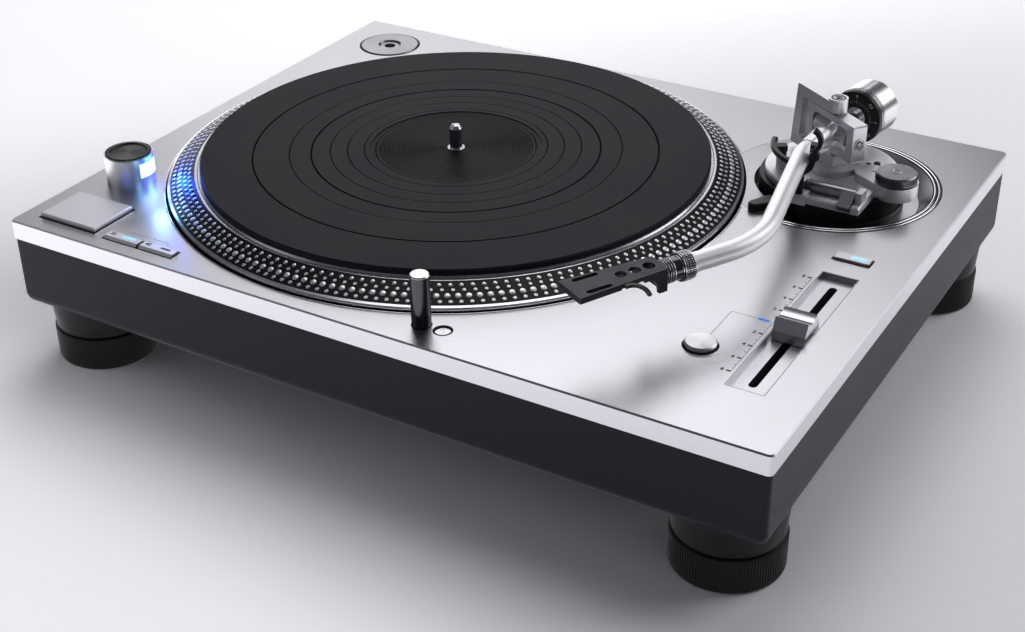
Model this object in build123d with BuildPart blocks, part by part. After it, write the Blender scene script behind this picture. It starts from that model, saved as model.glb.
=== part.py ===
from build123d import *
from math import cos, radians, sin, tan
import os

# A direct-drive turntable, in millimetres. Z is up, the front faces -Y, and the origin lies on the
# floor under the middle of the top panel. Every height is worked out upwards from the feet.

# Case, laid out around the platter
platter_radius = 166.0
left_margin = 14.3
right_margin = 106.7
front_margin = 11.2
rear_margin = 9.8
panel_width = left_margin + 2 * platter_radius + right_margin
panel_depth = front_margin + 2 * platter_radius + rear_margin
right_edge = panel_width / 2
left_edge = -right_edge
rear_edge = panel_depth / 2
front_edge = -rear_edge
platter_x = left_edge + left_margin + platter_radius
platter_y = front_edge + front_margin + platter_radius
panel_thickness = 11.0
panel_corner = 3.0
panel_edge = 0.8
skirt_height = 42.0
skirt_inset = 0.6
skirt_wall = 8.0
skirt_round = 7.0
deck_thickness = 4.0
cover_thickness = 2.5
cover_ledge = 6.0
cover_gap = 0.3
cover_corner = 4.0
cover_screw_radius = 1.4
cover_screw_head = 2.6
cover_screw_length = 9.0
cover_screw_sink = 1.4
cover_screw_x = 90.0
cover_screw_y = 60.0
vent_count = 9
vent_spacing = 9.0
vent_length = 60.0
vent_width = 3.0

# Feet, each a knurled cup on a screw under a tapered boss
foot_height = 20.5
foot_radius = 28.3
foot_x = right_edge - 30.5
foot_y = rear_edge - 30.5
foot_gap = 0.5
foot_wall = 4.0
foot_edge = 0.8
boss_height = 14.0
boss_bottom_radius = 27.6
boss_seat_radius = 28.6
boss_top_radius = 29.5
boss_depth = 12.0
stud_radius = 4.0
stud_length = 32.0
stud_flange = 9.0
stud_flange_thickness = 3.0
screw_clearance = 0.05

# Platter, its mat and the motor under it
platter_gap = 1.5
platter_rise = 10.3
platter_step = 1.0
platter_rim_height = 7.3
band_top_radius = platter_radius - 16.0
band_bottom_radius = platter_radius - 1.4
band_drop = 6.4
lip_height = 2.6
lip_edge = 0.5
rim_wall = 8.0
web_thickness = 5.2
web_rib_count = 8
web_rib_width = 3.0
web_rib_end_gap = 3.0
web_rib_height = 3.0
mat_radius = platter_radius - 19.0
mat_thickness = 3.2
mat_edge = 0.8
mat_groove_radii = (117.0, 83.6)
mat_groove = 1.2
label_radius = 50.0
label_drop = 0.5
spindle_radius = 3.6
spindle_collar_radius = 5.0
spindle_collar_proud = 0.1
spindle_rise = 14.0
spindle_tip = 1.2
shaft_radius = 5.0
shaft_clearance = 0.03
hub_seat_radius = 16.0
hub_flange_thickness = 3.0
hub_boss_radius = 8.0
hub_radius = 24.0
hub_clearance = 0.03
bearing_radius = 11.0
bearing_flange = 18.0
bearing_depth = 30.0
thrust_thickness = 3.0
magnet_inner = 34.0
magnet_outer = 62.0
magnet_thickness = 8.0
air_gap = 1.4
bearing_flange_thickness = 2.0
coil_count = 9
coil_height = 4.0
coil_wire = 6.0
coil_ring = 48.0
coil_outer = 13.0
coil_board_inner = 26.0
coil_board_outer = 70.0
coil_post_count = 3
coil_post_inset = 4.0
coil_post_radius = 3.0

# Controls at the left front corner
tower_x = left_edge + 25.2
tower_y = front_edge + 71.9
tower_radius = 14.0
tower_wall = 1.3
tower_height = 17.6
tower_floor = 2.0
window_heading = 34.2
window_half_angle = 58.0
window_bottom = 6.0
window_height = 8.6
window_clearance = 0.05
knob_thickness = 2.6
knob_proud = 0.8
knob_dish = 0.6
knob_top_radius = 10.6
knob_shaft = 3.0
lamp_inner = 7.0
lamp_outer = 10.0
button_gap = 0.4
button_travel = 1.2
button_corner = 0.6
start_x = left_edge + 32.4
start_y = front_edge + 27.0
start_width = 38.8
start_depth = 31.0
start_proud = 2.6
start_thickness = 7.0
speed_y = front_edge + 13.1
speed_33_x = left_edge + 71.5
speed_45_x = left_edge + 95.9
speed_width = 22.4
speed_depth = 6.6
speed_proud = 1.3
speed_bevel = 1.4
board_thickness = 1.6
board_margin = 2.0
switch_radius = 3.0
switch_clearance = 0.3

# Pop-up light and its button
light_bearing = -63.35
light_distance = platter_radius + 11.7
light_radius = 5.0
light_rise = 28.5
light_hole = 5.4
light_down_rise = 2.5
light_grip = 12.0
light_window = 3.6
light_window_drop = 5.0
light_sleeve_wall = 1.8
light_button_bearing = -59.9
light_button_distance = platter_radius + 17.4
light_button_radius = 4.3
light_button_sink = 0.6

# Pitch controls at the right
fader_x = right_edge - 32.2
fader_y = front_edge + 103.5
reset_x = fader_x - 34.0
reset_y = fader_y - 35.5
reset_radius = 8.0
reset_proud = 2.6
range_x = fader_x - 0.5
range_y = fader_y + 80.1
range_width = 19.2
range_depth = 6.8
range_proud = 1.4
fader_width = 19.0
fader_length = 122.0
fader_sink = 3.2
fader_slot_width = 4.4
fader_slot_length = 106.0
fader_body_depth = 15.0
fader_body_wall = 2.5
fader_stem = 2.6
fader_stem_length = 4.4
fader_knob_width = 17.0
fader_knob_length = 19.0
fader_knob_height = 11.0
fader_knob_ridge = 5.6
fader_knob_dip = 2.2

# Adaptor for records with a large centre hole
adaptor_x = left_edge + 36.6
adaptor_y = rear_edge - 33.9
adaptor_radius = 19.6
adaptor_gap = 0.6
adaptor_thickness = 6.0
adaptor_proud = 0.5
adaptor_bore = 3.7
adaptor_boss = 6.5
adaptor_dish = 1.2

# Rear of the case
terminal_x = right_edge - 106.5
terminal_width = 66.0
terminal_height = 22.0
terminal_sink = 16.0
terminal_plate = 2.0
terminal_wall = 3.0
jack_radius = 4.1
jack_pin_radius = 1.7
jack_length = 9.0
jack_spacing = 18.0
ground_radius = 3.5
inlet_x = left_edge + 98.5
inlet_width = 27.0
inlet_height = 20.0
inlet_depth = 22.0
inlet_wall = 2.0
inlet_pin_radius = 1.2
inlet_pin_spacing = 8.5
inlet_pin_length = 10.0

# Boards inside
main_board_x = right_edge - 186.5
main_board_y = rear_edge - 84.5
main_board_width = 110.0
main_board_depth = 90.0
board_spacer = 5.0
board_post_radius = 3.0
board_post_inset = 6.0
chip_size = 20.0
chip_height = 2.5
driver_width = 28.0
driver_depth = 9.0
driver_offset = 12.0
capacitor_radius = 5.0
capacitor_height = 10.0
capacitor_spacing = 18.0
capacitor_offset = 26.0
supply_x = left_edge + 98.5
supply_y = rear_edge - 68.5
supply_width = 96.0
supply_depth = 64.0
supply_height = 22.0

# Arm mounting
pivot_distance = platter_radius + 49.0
pivot_bearing = 24.1
arm_well_radius = 60.4
arm_well_seam = 0.25
dish_radius = 57.4
dish_depth = 9.0
dish_slope = 40.0
dish_inner_radius = 43.2
dish_split = -12.0
guide_radius = 25.0
guide_bore = 14.0
guide_height = 17.0
ring_clearance = 0.08
height_ring_radius = 40.2
height_ring_lip = 41.4
height_ring_lip_height = 3.2
height_ring_height = 14.2
height_ring_rest = 0.4
height_ring_web = 6.6
height_ring_inner = 32.0
base_gap = 0.5
base_flange_radius = 37.5
base_flange_thickness = 4.0
base_chamfer = 0.8
base_hub_wall = 6.4
base_front = 44.4
base_front_left = 10.0
base_front_right = 32.0
turret_radius = 15.0
turret_height = 3.0

# Arm rest, clamp and height lock
rest_along = 9.0
rest_thickness = 5.0
rest_clearance = 0.4
rest_wall = 3.2
rest_stem = 6.0
rest_fin = 10.0
rest_fin_width = 3.4
rest_block_left = 10.0
rest_block_right = 2.4
rest_block_front = 47.4
rest_block_back = 38.9
rest_block_height = 2.0
clamp_open_angle = 95.0
clamp_pin_radius = 1.5
clamp_hub_radius = 2.8
clamp_gap = 0.3
clamp_thickness = 3.2
clamp_wall = 2.6
clamp_pin_x = 8.4
clamp_pin_y = 4.8
lock_heading = -112.5
lock_distance = 48.0
lock_hub_radius = 5.0
lock_height = 4.2
lock_gap = 0.3
lock_length = 10.5
lock_tip_radius = 3.4
lock_direction = -125.0
lock_pin_radius = 2.0

# Side force dial
skate_x_offset = 40.0
skate_y_offset = -8.6
skate_radius = 11.3
skate_thickness = 5.0
skate_gap = 0.4
skate_pod_radius = 12.4
skate_pod_top = 14.0
skate_shaft = 2.0
skate_shaft_length = 6.0
skate_web_x = 24.0
skate_web_y = -4.0
skate_web_radius = 9.0

# Cue lever and lift
cue_y_offset = -34.4
cue_rise = 12.6
cue_shaft_radius = 3.5
cue_shaft_left = -1.2
cue_shaft_right = 27.0
cue_pin_radius = 2.0
cue_pin_length = 2.4
cue_tab_left = 19.4
cue_tab_width = 7.6
cue_tab_thickness = 3.0
cue_tab_length = 10.5
cue_tab_drop = 35.0
cue_boss_length = 3.6
cue_boss_half = 3.8
cue_gap = 0.5
cue_notch_depth = 3.4
lift_heading = -150.0
lift_distance = 28.3
lift_rod_radius = 2.0
lift_cylinder_radius = 3.8
lift_cylinder_height = 7.0
lift_bar_radius = 33.6
lift_bar_width = 3.6
lift_bar_round = 1.2
lift_bar_thickness = 3.2
lift_bar_start = -171.0
lift_bar_end = -106.0
lift_bar_rise = 23.5

# Gimbal
gimbal_heading = -124.0
arm_rise = 32.0
ring_half_width = 22.0
ring_half_height = 11.0
ring_depth = 9.0
ring_side_bar = 6.0
ring_top_bar = 3.8
ring_window_round = 3.5
bracket_depth = 11.0
bracket_inner = 25.0
bracket_top_outer = 31.0
bracket_bottom_outer = 34.5
bracket_arm = 6.2
bracket_round = 1.2
bracket_top_gap = 1.2
bracket_foot_gap = 1.8
bracket_foot_reach = 7.0
pivot_boss_radius = 5.4
pivot_boss_proud = 1.4
pivot_screw_radius = 2.6
pivot_tip_radius = 1.2
pivot_tip_length = 1.5
pivot_clearance = 0.05

# Tonearm
arm_heading = -98.3
arm_first_run = 36.1
arm_middle_heading = -78.6
arm_middle_run = 108.2
arm_elbow_radius = 30.0
arm_bend_radius = 60.0
headshell_heading = -119.1
headshell_run = 99.3
tube_radius = 5.0
tube_bore = 4.0
block_radius = 5.0
block_side_gap = 1.2
arm_hub_radius = 5.4
arm_cone_start = 14.0
arm_cone_radius = 7.0
arm_cone_end = 30.5
rear_hub_length = 12.0
rear_shaft_radius = 4.0
rear_shaft_length = 44.0

# Counterweight and its dial
weight_start = 28.0
weight_radius = 15.5
weight_length = 17.0
weight_chamfer = 0.8
sleeve_radius = 6.0
sleeve_clearance = 0.05
sleeve_length = 22.0
dial_thickness = 5.5
dial_gap = 0.1

# Headshell and its lock nut
slot_from_web = 38.2
headshell_front = 12.4
headshell_rise = 6.0
headshell_thickness = 2.6
headshell_front_width = 18.8
headshell_rear_width = 13.8
headshell_web_height = 12.4
headshell_web_thickness = 2.2
headshell_slot_length = 14.6
headshell_slot_width = 3.2
headshell_slot_spacing = 12.7
headshell_hole_radii = (3.1, 3.2, 3.3)
headshell_hole_places = (15.8, 23.8, 31.8)
headshell_side = 2.0
headshell_front_depth = 3.4
headshell_front_length = 23.6
headshell_arch = 12.5
connector_radius = 3.95
connector_length = 12.0
nut_radius = 7.1
nut_length = 11.6
nut_barrel_radius = 6.0
nut_barrel_length = 5.2
ferrule_radius = 5.75
ferrule_length = 1.6
collar_radius = 6.0
collar_length = 5.0
nut_gap = 0.3
finger_place = 12.2
finger_start_gap = 0.4
finger_reach = 8.6
finger_sweep = 8.0
finger_drop = 2.6
finger_width = 1.8
finger_thickness = 1.6

# Heights and places that follow from the sizes
boss_bottom = foot_height + foot_gap
case_bottom = boss_bottom + boss_height
deck_top = case_bottom + skirt_height
panel_top = deck_top + panel_thickness
inside_top = deck_top - deck_thickness
cover_top = case_bottom + cover_thickness
well_radius = platter_radius + platter_gap
platter_top = panel_top + platter_rise
mat_top = platter_top + mat_thickness
web_bottom = platter_top - web_thickness
platter_bottom = platter_top - platter_step - band_drop - lip_height - platter_rim_height
flange_top = web_bottom - 3.0
magnet_bottom = web_bottom - magnet_thickness
coil_top = magnet_bottom - air_gap
bearing_bottom = deck_top - bearing_depth
bearing_top = flange_top - 4.5
skirt_width = panel_width - 2 * skirt_inset
skirt_depth = panel_depth - 2 * skirt_inset
inside_width = skirt_width - 2 * skirt_wall
inside_depth = skirt_depth - 2 * skirt_wall
rear_face = skirt_depth / 2
foot_places = {
    "front_left": (-foot_x, -foot_y),
    "front_right": (foot_x, -foot_y),
    "rear_left": (-foot_x, foot_y),
    "rear_right": (foot_x, foot_y),
}
all_feet = list(foot_places.values())
dish_floor = panel_top - dish_depth
ring_bottom = dish_floor + height_ring_rest
ring_top = ring_bottom + height_ring_height
base_bottom = ring_top + base_gap
base_top = base_bottom + base_flange_thickness
turret_top = base_top + turret_height
arm_height = panel_top + arm_rise
tube_seat = tube_radius + rest_clearance


def heading(angle, length=1.0):
    """The plan vector of this length towards an angle from +X."""
    return Vector(length * cos(radians(angle)), length * sin(radians(angle)), 0)


def level(height):
    """The horizontal plane at a height."""
    return Plane.XY.offset(height)


def upright(centre, facing, height=0.0):
    """A standing plane whose normal faces this way, with its own Y pointing up."""
    origin = (centre.X, centre.Y, height)
    return Plane(origin=origin, x_dir=heading(facing + 90), z_dir=heading(facing))


def round_bar(plane, radius, start, end, mode=Mode.ADD):
    """A cylinder about a plane's normal from one distance to another."""
    with BuildSketch(plane.offset(start)) as section:
        Circle(radius)
    extrude(section.sketch, amount=end - start, mode=mode)


def bend_middle(corner, before, after, radius):
    """The middle point of the arc that rounds a corner between two headings."""
    half_turn = radians(after - before) / 2
    inward = heading(after) - heading(before)
    return corner + inward.normalized() * (radius / cos(half_turn) - radius)


def turned(centre, points, mode=Mode.ADD):
    """A ring about an upright axis from its half outline of (radius, height) points."""
    with BuildSketch(Plane(origin=(centre.X, centre.Y, 0), x_dir=(1, 0, 0), z_dir=(0, -1, 0))) as section:
        with BuildLine():
            Polyline(*points, close=True)
        make_face()
    revolve(section.sketch, axis=Axis((centre.X, centre.Y, 0), (0, 0, 1)), mode=mode)


def sector(inner, outer, start, end):
    """Part of a flat ring between two angles, for the sketch that is open."""
    with BuildLine() as outline:
        outside = CenterArc((0, 0), outer, start, end - start)
        inside = CenterArc((0, 0), inner, start, end - start)
        Line(outside @ 0, inside @ 0)
        Line(outside @ 1, inside @ 1)
    make_face(outline.edges())


def block(x_range, y_range, z_range, mode=Mode.ADD):
    """A box from its limits along each axis."""
    with BuildSketch(level(z_range[0])) as section:
        with Locations(((x_range[0] + x_range[1]) / 2, (y_range[0] + y_range[1]) / 2)):
            Rectangle(x_range[1] - x_range[0], y_range[1] - y_range[0])
    extrude(section.sketch, amount=z_range[1] - z_range[0], mode=mode)


platter_axis = Vector(platter_x, platter_y, 0)
pivot = platter_axis + heading(pivot_bearing, pivot_distance)
arm_elbow = pivot + heading(arm_heading, arm_first_run)
arm_bend = arm_elbow + heading(arm_middle_heading, arm_middle_run)
slot_centre = arm_bend + heading(headshell_heading, headshell_run)
web_back = slot_centre - heading(headshell_heading, slot_from_web)
rest_centre = arm_elbow + heading(arm_middle_heading, rest_along)
skate_centre = pivot + Vector(skate_x_offset, skate_y_offset, 0)
lift_centre = pivot + heading(lift_heading, lift_distance)
lock_centre = pivot + heading(lock_heading, lock_distance)
platter_plane = Plane(origin=(platter_x, platter_y, 0))
pivot_plane = Plane(origin=(pivot.X, pivot.Y, 0))
tower_plane = Plane(origin=(tower_x, tower_y, 0))
light_centre = platter_axis + heading(light_bearing, light_distance)
light_button_centre = platter_axis + heading(light_button_bearing, light_button_distance)
light_plane = Plane(origin=(light_centre.X, light_centre.Y, 0))
gimbal_plane = upright(pivot, gimbal_heading, arm_height)
front_arm_plane = upright(pivot, arm_heading, arm_height)
rear_arm_plane = upright(pivot, arm_heading + 180, arm_height)
rest_plane = upright(rest_centre, arm_middle_heading, arm_height)
nut_plane = upright(web_back, headshell_heading + 180, arm_height)
light_sleeve_bottom = panel_top - light_grip - light_rise + light_down_rise - 4.0
print("effective length", round((slot_centre - pivot).length, 1))

parts = []


def keep(builder, label):
    """Names a finished piece and sets it aside for writing."""
    builder.part.label = label
    parts.append(builder.part)


# The aluminium top panel, with every opening of the deck in it
board_left = start_x - start_width / 2 - board_margin
board_right = speed_45_x + speed_width / 2 + board_margin
board_front = start_y - start_depth / 2 - board_margin
board_back = start_y + start_depth / 2 + board_margin
board_width = board_right - board_left
board_depth = board_back - board_front
board_centre = ((board_left + board_right) / 2, (board_front + board_back) / 2)
speed_middle = (speed_33_x + speed_45_x) / 2
speed_span = speed_45_x - speed_33_x + speed_width
fader_floor = panel_top - fader_sink

with BuildPart() as top_panel:
    with BuildSketch(level(deck_top)):
        RectangleRounded(panel_width, panel_depth, panel_corner)
    extrude(amount=panel_thickness)
    chamfer(top_panel.faces().sort_by(Axis.Z)[-1].edges(), panel_edge)
    with BuildSketch(level(panel_top)):
        with Locations((platter_x, platter_y)):
            Circle(well_radius)
        with Locations((pivot.X, pivot.Y)):
            Circle(arm_well_radius)
        with Locations((tower_x, tower_y)):
            Circle(tower_radius + window_clearance)
        with Locations((light_centre.X, light_centre.Y)):
            Circle(light_hole)
        with Locations((light_button_centre.X, light_button_centre.Y)):
            Circle(light_button_radius + button_gap)
        with Locations((reset_x, reset_y)):
            Circle(reset_radius + button_gap)
        with Locations((range_x, range_y)):
            Rectangle(range_width + 2 * button_gap, range_depth + 2 * button_gap)
        with Locations((start_x, start_y)):
            Rectangle(start_width + 2 * button_gap, start_depth + 2 * button_gap)
        with Locations((speed_middle, speed_y)):
            Rectangle(speed_span + 2 * button_gap, speed_depth + 2 * button_gap)
        with Locations((fader_x, fader_y)):
            SlotOverall(fader_slot_length, fader_slot_width, rotation=90)
    extrude(amount=-panel_thickness, mode=Mode.SUBTRACT)
    with BuildSketch(level(panel_top)):
        with Locations((fader_x, fader_y)):
            Rectangle(fader_width, fader_length)
    extrude(amount=-fader_sink, mode=Mode.SUBTRACT)
    with BuildSketch(level(panel_top)):
        with Locations((adaptor_x, adaptor_y)):
            Circle(adaptor_radius + adaptor_gap)
    extrude(amount=adaptor_proud - adaptor_thickness, mode=Mode.SUBTRACT)
    with BuildSketch(level(deck_top)):
        with Locations(board_centre):
            Rectangle(board_width + 2 * cover_gap, board_depth + 2 * cover_gap)
    extrude(amount=board_thickness + cover_gap, mode=Mode.SUBTRACT)
keep(top_panel, "top_panel")

# The dark cabinet under the panel, open below, with a seat for the boss over each foot
terminal_middle = (inside_top + case_bottom) / 2
fader_opening = fader_slot_length + 2 * fader_body_wall + 2 * cover_gap
fader_opening_width = fader_slot_width + 2 * fader_body_wall + 2 * cover_gap
cover_width = inside_width - 2 * cover_gap
cover_depth = inside_depth - 2 * cover_gap
cover_edge = inside_width / 2 - cover_ledge / 2
cover_side = inside_depth / 2 - cover_ledge / 2
side_screws = [(x * cover_edge, y * cover_screw_y) for x in (-1, 1) for y in (-1, 0, 1)]
end_screws = [(x * cover_screw_x, y * cover_side) for x in (-1, 0, 1) for y in (-1, 1)]
cover_screws = side_screws + end_screws
with BuildPart() as cabinet:
    with BuildSketch(level(case_bottom)):
        RectangleRounded(skirt_width, skirt_depth, panel_corner)
    extrude(amount=skirt_height)
    fillet(cabinet.faces().sort_by(Axis.Z)[0].edges(), skirt_round)
    with BuildSketch(level(case_bottom)):
        Rectangle(inside_width - 2 * cover_ledge, inside_depth - 2 * cover_ledge)
    extrude(amount=inside_top - case_bottom, mode=Mode.SUBTRACT)
    with BuildSketch(level(case_bottom)):
        Rectangle(inside_width, inside_depth)
    extrude(amount=cover_thickness, mode=Mode.SUBTRACT)
    with Locations([(x, y, case_bottom) for x, y in all_feet]):
        Cone(boss_seat_radius, boss_top_radius, boss_depth, align=(Align.CENTER, Align.CENTER, Align.MIN))
    with BuildSketch(level(case_bottom)):
        with Locations(all_feet):
            Circle(stud_radius + screw_clearance)
    extrude(amount=boss_depth, mode=Mode.SUBTRACT)
    with BuildSketch(level(deck_top)):
        with Locations((platter_x, platter_y)):
            Circle(bearing_radius + cover_gap)
        with Locations((fader_x, fader_y)):
            Rectangle(fader_opening_width, fader_opening)
    extrude(amount=-deck_thickness, mode=Mode.SUBTRACT)
    with BuildSketch(level(inside_top)):
        with Locations((light_centre.X, light_centre.Y)):
            Circle(light_radius + light_sleeve_wall)
    extrude(amount=light_sleeve_bottom - inside_top)
    with BuildSketch(level(deck_top)):
        with Locations((light_centre.X, light_centre.Y)):
            Circle(light_radius + screw_clearance)
    extrude(amount=light_sleeve_bottom - deck_top, mode=Mode.SUBTRACT)
    with BuildSketch(Plane.XZ.offset(-rear_face)):
        with Locations((terminal_x, terminal_middle)):
            Rectangle(terminal_width + 2 * terminal_wall, terminal_height + 2 * terminal_wall)
        with Locations((inlet_x, terminal_middle)):
            Rectangle(inlet_width + 2 * terminal_wall, inlet_height + 2 * terminal_wall)
    extrude(amount=terminal_sink + terminal_plate)
    with BuildSketch(Plane.XZ.offset(-rear_face)):
        with Locations((terminal_x, terminal_middle)):
            Rectangle(terminal_width, terminal_height)
        with Locations((inlet_x, terminal_middle)):
            Rectangle(inlet_width, inlet_height)
    extrude(amount=terminal_sink + terminal_plate, mode=Mode.SUBTRACT)
    with BuildSketch(level(cover_top)):
        with Locations(cover_screws):
            Circle(cover_screw_radius)
    extrude(amount=cover_screw_length, mode=Mode.SUBTRACT)
keep(cabinet, "cabinet")

# The cover under the cabinet and the screws that hold it
with BuildPart() as bottom_cover:
    with BuildSketch(level(case_bottom)):
        Rectangle(cover_width, cover_depth)
        with Locations(all_feet):
            Circle(boss_top_radius + cover_gap, mode=Mode.SUBTRACT)
        with GridLocations(cover_width, cover_depth, 2, 2):
            Rectangle(cover_corner, cover_corner, mode=Mode.SUBTRACT)
    extrude(amount=cover_thickness)
    with BuildSketch(level(case_bottom)):
        with GridLocations(vent_spacing, 0, vent_count, 1):
            SlotOverall(vent_length, vent_width, rotation=90)
        with Locations(cover_screws):
            Circle(cover_screw_radius)
    extrude(amount=cover_thickness, mode=Mode.SUBTRACT)
keep(bottom_cover, "bottom_cover")

with BuildPart() as case_screws:
    with BuildSketch(level(case_bottom)):
        with Locations(cover_screws):
            Circle(cover_screw_radius)
    extrude(amount=cover_thickness + cover_screw_length)
    with BuildSketch(level(case_bottom)):
        with Locations(cover_screws):
            Circle(cover_screw_head)
    extrude(amount=-cover_screw_sink)
keep(case_screws, "case_screws")

# Tapered bosses between the cabinet and the feet
with BuildPart() as foot_bosses:
    with Locations([(x, y, boss_bottom) for x, y in all_feet]):
        Cone(boss_bottom_radius, boss_seat_radius, boss_height, align=(Align.CENTER, Align.CENTER, Align.MIN))
    with BuildSketch(level(boss_bottom)):
        with Locations(all_feet):
            Circle(stud_radius + screw_clearance)
    extrude(amount=boss_height, mode=Mode.SUBTRACT)
keep(foot_bosses, "foot_bosses")

# Knurled feet, and the studs that carry them in the bosses
for place, (x, y) in foot_places.items():
    centre = Vector(x, y, 0)
    ceiling = foot_height - foot_wall
    bore = stud_radius + screw_clearance
    outline = [
        (bore, ceiling),
        (foot_radius - foot_wall, ceiling),
        (foot_radius - foot_wall, 0),
        (foot_radius - foot_edge, 0),
        (foot_radius, foot_edge),
        (foot_radius, foot_height - foot_edge),
        (foot_radius - foot_edge, foot_height),
        (bore, foot_height),
    ]
    with BuildPart() as foot:
        turned(centre, outline)
    keep(foot, "foot_" + place)
    outline = [
        (0, ceiling - stud_flange_thickness),
        (stud_flange, ceiling - stud_flange_thickness),
        (stud_flange, ceiling),
        (stud_radius, ceiling),
        (stud_radius, ceiling + stud_length),
        (0, ceiling + stud_length),
    ]
    with BuildPart() as stud:
        turned(centre, outline)
    keep(stud, "foot_stud_" + place)

# Bearing and motor under the platter
flange_bottom = flange_top - hub_flange_thickness
with BuildPart() as bearing_housing:
    turned(
        platter_axis,
        [
            (0, bearing_bottom),
            (bearing_radius, bearing_bottom),
            (bearing_radius, deck_top),
            (bearing_flange, deck_top),
            (bearing_flange, deck_top + bearing_flange_thickness),
            (bearing_radius, deck_top + bearing_flange_thickness),
            (bearing_radius, bearing_top),
            (shaft_radius + shaft_clearance, bearing_top),
            (shaft_radius + shaft_clearance, bearing_bottom + thrust_thickness),
            (0, bearing_bottom + thrust_thickness),
        ],
    )
keep(bearing_housing, "bearing_housing")

coil_seat = coil_top - coil_height
with BuildPart() as stator_coils:
    with BuildSketch(platter_plane.offset(coil_seat - board_thickness)):
        Circle(coil_board_outer)
        Circle(coil_board_inner, mode=Mode.SUBTRACT)
    extrude(amount=board_thickness)
    with BuildSketch(platter_plane.offset(coil_seat)):
        with PolarLocations(coil_ring, coil_count):
            Circle(coil_outer)
            Circle(coil_outer - coil_wire, mode=Mode.SUBTRACT)
    extrude(amount=coil_height)
    with BuildSketch(platter_plane.offset(deck_top)):
        with PolarLocations(coil_board_outer - coil_post_inset, coil_post_count):
            Circle(coil_post_radius)
    extrude(amount=coil_seat - board_thickness - deck_top)
keep(stator_coils, "stator_coils")

with BuildPart() as rotor_magnet:
    with BuildSketch(platter_plane.offset(magnet_bottom)):
        Circle(magnet_outer)
        Circle(magnet_inner, mode=Mode.SUBTRACT)
    extrude(amount=magnet_thickness)
keep(rotor_magnet, "rotor_magnet")

# Spindle, platter and mat
spindle_top = mat_top + spindle_rise
collar_top = mat_top - label_drop + spindle_collar_proud
mat_bore = spindle_collar_radius + cover_gap
with BuildPart() as spindle:
    turned(
        platter_axis,
        [
            (0, bearing_bottom + thrust_thickness),
            (shaft_radius, bearing_bottom + thrust_thickness),
            (shaft_radius, flange_bottom),
            (hub_seat_radius, flange_bottom),
            (hub_seat_radius, flange_top),
            (hub_boss_radius, flange_top),
            (hub_boss_radius, platter_top),
            (spindle_collar_radius, platter_top),
            (spindle_collar_radius, collar_top),
            (spindle_radius, collar_top),
            (spindle_radius, spindle_top - 2 * spindle_tip),
            (spindle_radius - spindle_tip, spindle_top - 0.4 * spindle_tip),
            (spindle_radius - 2 * spindle_tip, spindle_top),
            (0, spindle_top),
        ],
    )
keep(spindle, "spindle")

band_top = platter_top - platter_step
band_bottom = band_top - band_drop
lip_bottom = band_bottom - lip_height
rim_inner = platter_radius - rim_wall
slope = band_drop / (band_bottom_radius - band_top_radius)
with BuildPart() as platter:
    turned(
        platter_axis,
        [
            (hub_boss_radius + hub_clearance, flange_top),
            (hub_radius, flange_top),
            (hub_radius, web_bottom),
            (mat_radius, web_bottom),
            (rim_inner, web_bottom - slope * (rim_inner - mat_radius)),
            (rim_inner, platter_bottom),
            (platter_radius - lip_edge, platter_bottom),
            (platter_radius - lip_edge, lip_bottom),
            (platter_radius, lip_bottom),
            (platter_radius, band_bottom - lip_edge),
            (band_bottom_radius, band_bottom),
            (band_top_radius, band_top),
            (mat_radius + lip_edge, band_top),
            (mat_radius + lip_edge, platter_top),
            (hub_boss_radius + hub_clearance, platter_top),
        ],
    )
    with BuildSketch(platter_plane.offset(web_bottom)):
        with PolarLocations((magnet_outer + mat_radius) / 2, web_rib_count):
            Rectangle(mat_radius - magnet_outer - 2 * web_rib_end_gap, web_rib_width)
    extrude(amount=-web_rib_height)
keep(platter, "platter")

with BuildPart() as platter_mat:
    turned(
        platter_axis,
        [
            (mat_bore, platter_top),
            (mat_radius, platter_top),
            (mat_radius, mat_top - mat_edge),
            (mat_radius - mat_edge, mat_top),
            (label_radius, mat_top),
            (label_radius, mat_top - label_drop),
            (mat_bore, mat_top - label_drop),
        ],
    )
    with BuildSketch(platter_plane.offset(mat_top)):
        for radius in mat_groove_radii:
            Circle(radius + mat_groove / 2)
            Circle(radius - mat_groove / 2, mode=Mode.SUBTRACT)
    extrude(amount=-label_drop, mode=Mode.SUBTRACT)
keep(platter_mat, "platter_mat")

# Tower with the lamp that lights the platter edge, and the power knob on top
tower_top = panel_top + tower_height
window_low = panel_top + window_bottom
window_high = window_low + window_height
window_start = window_heading - window_half_angle
window_end = window_heading + window_half_angle
knob_bottom = tower_top + knob_proud - knob_thickness
tower_inner = tower_radius - tower_wall
floor_top = deck_top + tower_floor
with BuildPart() as strobe_housing:
    with BuildSketch(tower_plane.offset(deck_top)):
        Circle(tower_radius)
    extrude(amount=tower_top - deck_top)
    with BuildSketch(tower_plane.offset(floor_top)):
        Circle(tower_inner)
    extrude(amount=window_high - floor_top, mode=Mode.SUBTRACT)
    with BuildSketch(tower_plane.offset(knob_bottom - cover_gap)):
        Circle(tower_inner)
    extrude(amount=knob_thickness + cover_gap, mode=Mode.SUBTRACT)
    with BuildSketch(tower_plane.offset(window_high)):
        Circle(knob_shaft + screw_clearance)
    extrude(amount=knob_thickness, mode=Mode.SUBTRACT)
    with BuildSketch(tower_plane.offset(window_low)):
        sector(tower_inner - 0.5, tower_radius + 1.0, window_start, window_end)
    extrude(amount=window_height, mode=Mode.SUBTRACT)
keep(strobe_housing, "strobe_housing")

with BuildPart() as strobe_window:
    with BuildSketch(tower_plane.offset(window_low)):
        sector(tower_inner - 0.5, tower_radius - 0.2, window_start, window_end)
    extrude(amount=window_height)
keep(strobe_window, "strobe_window")

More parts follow.
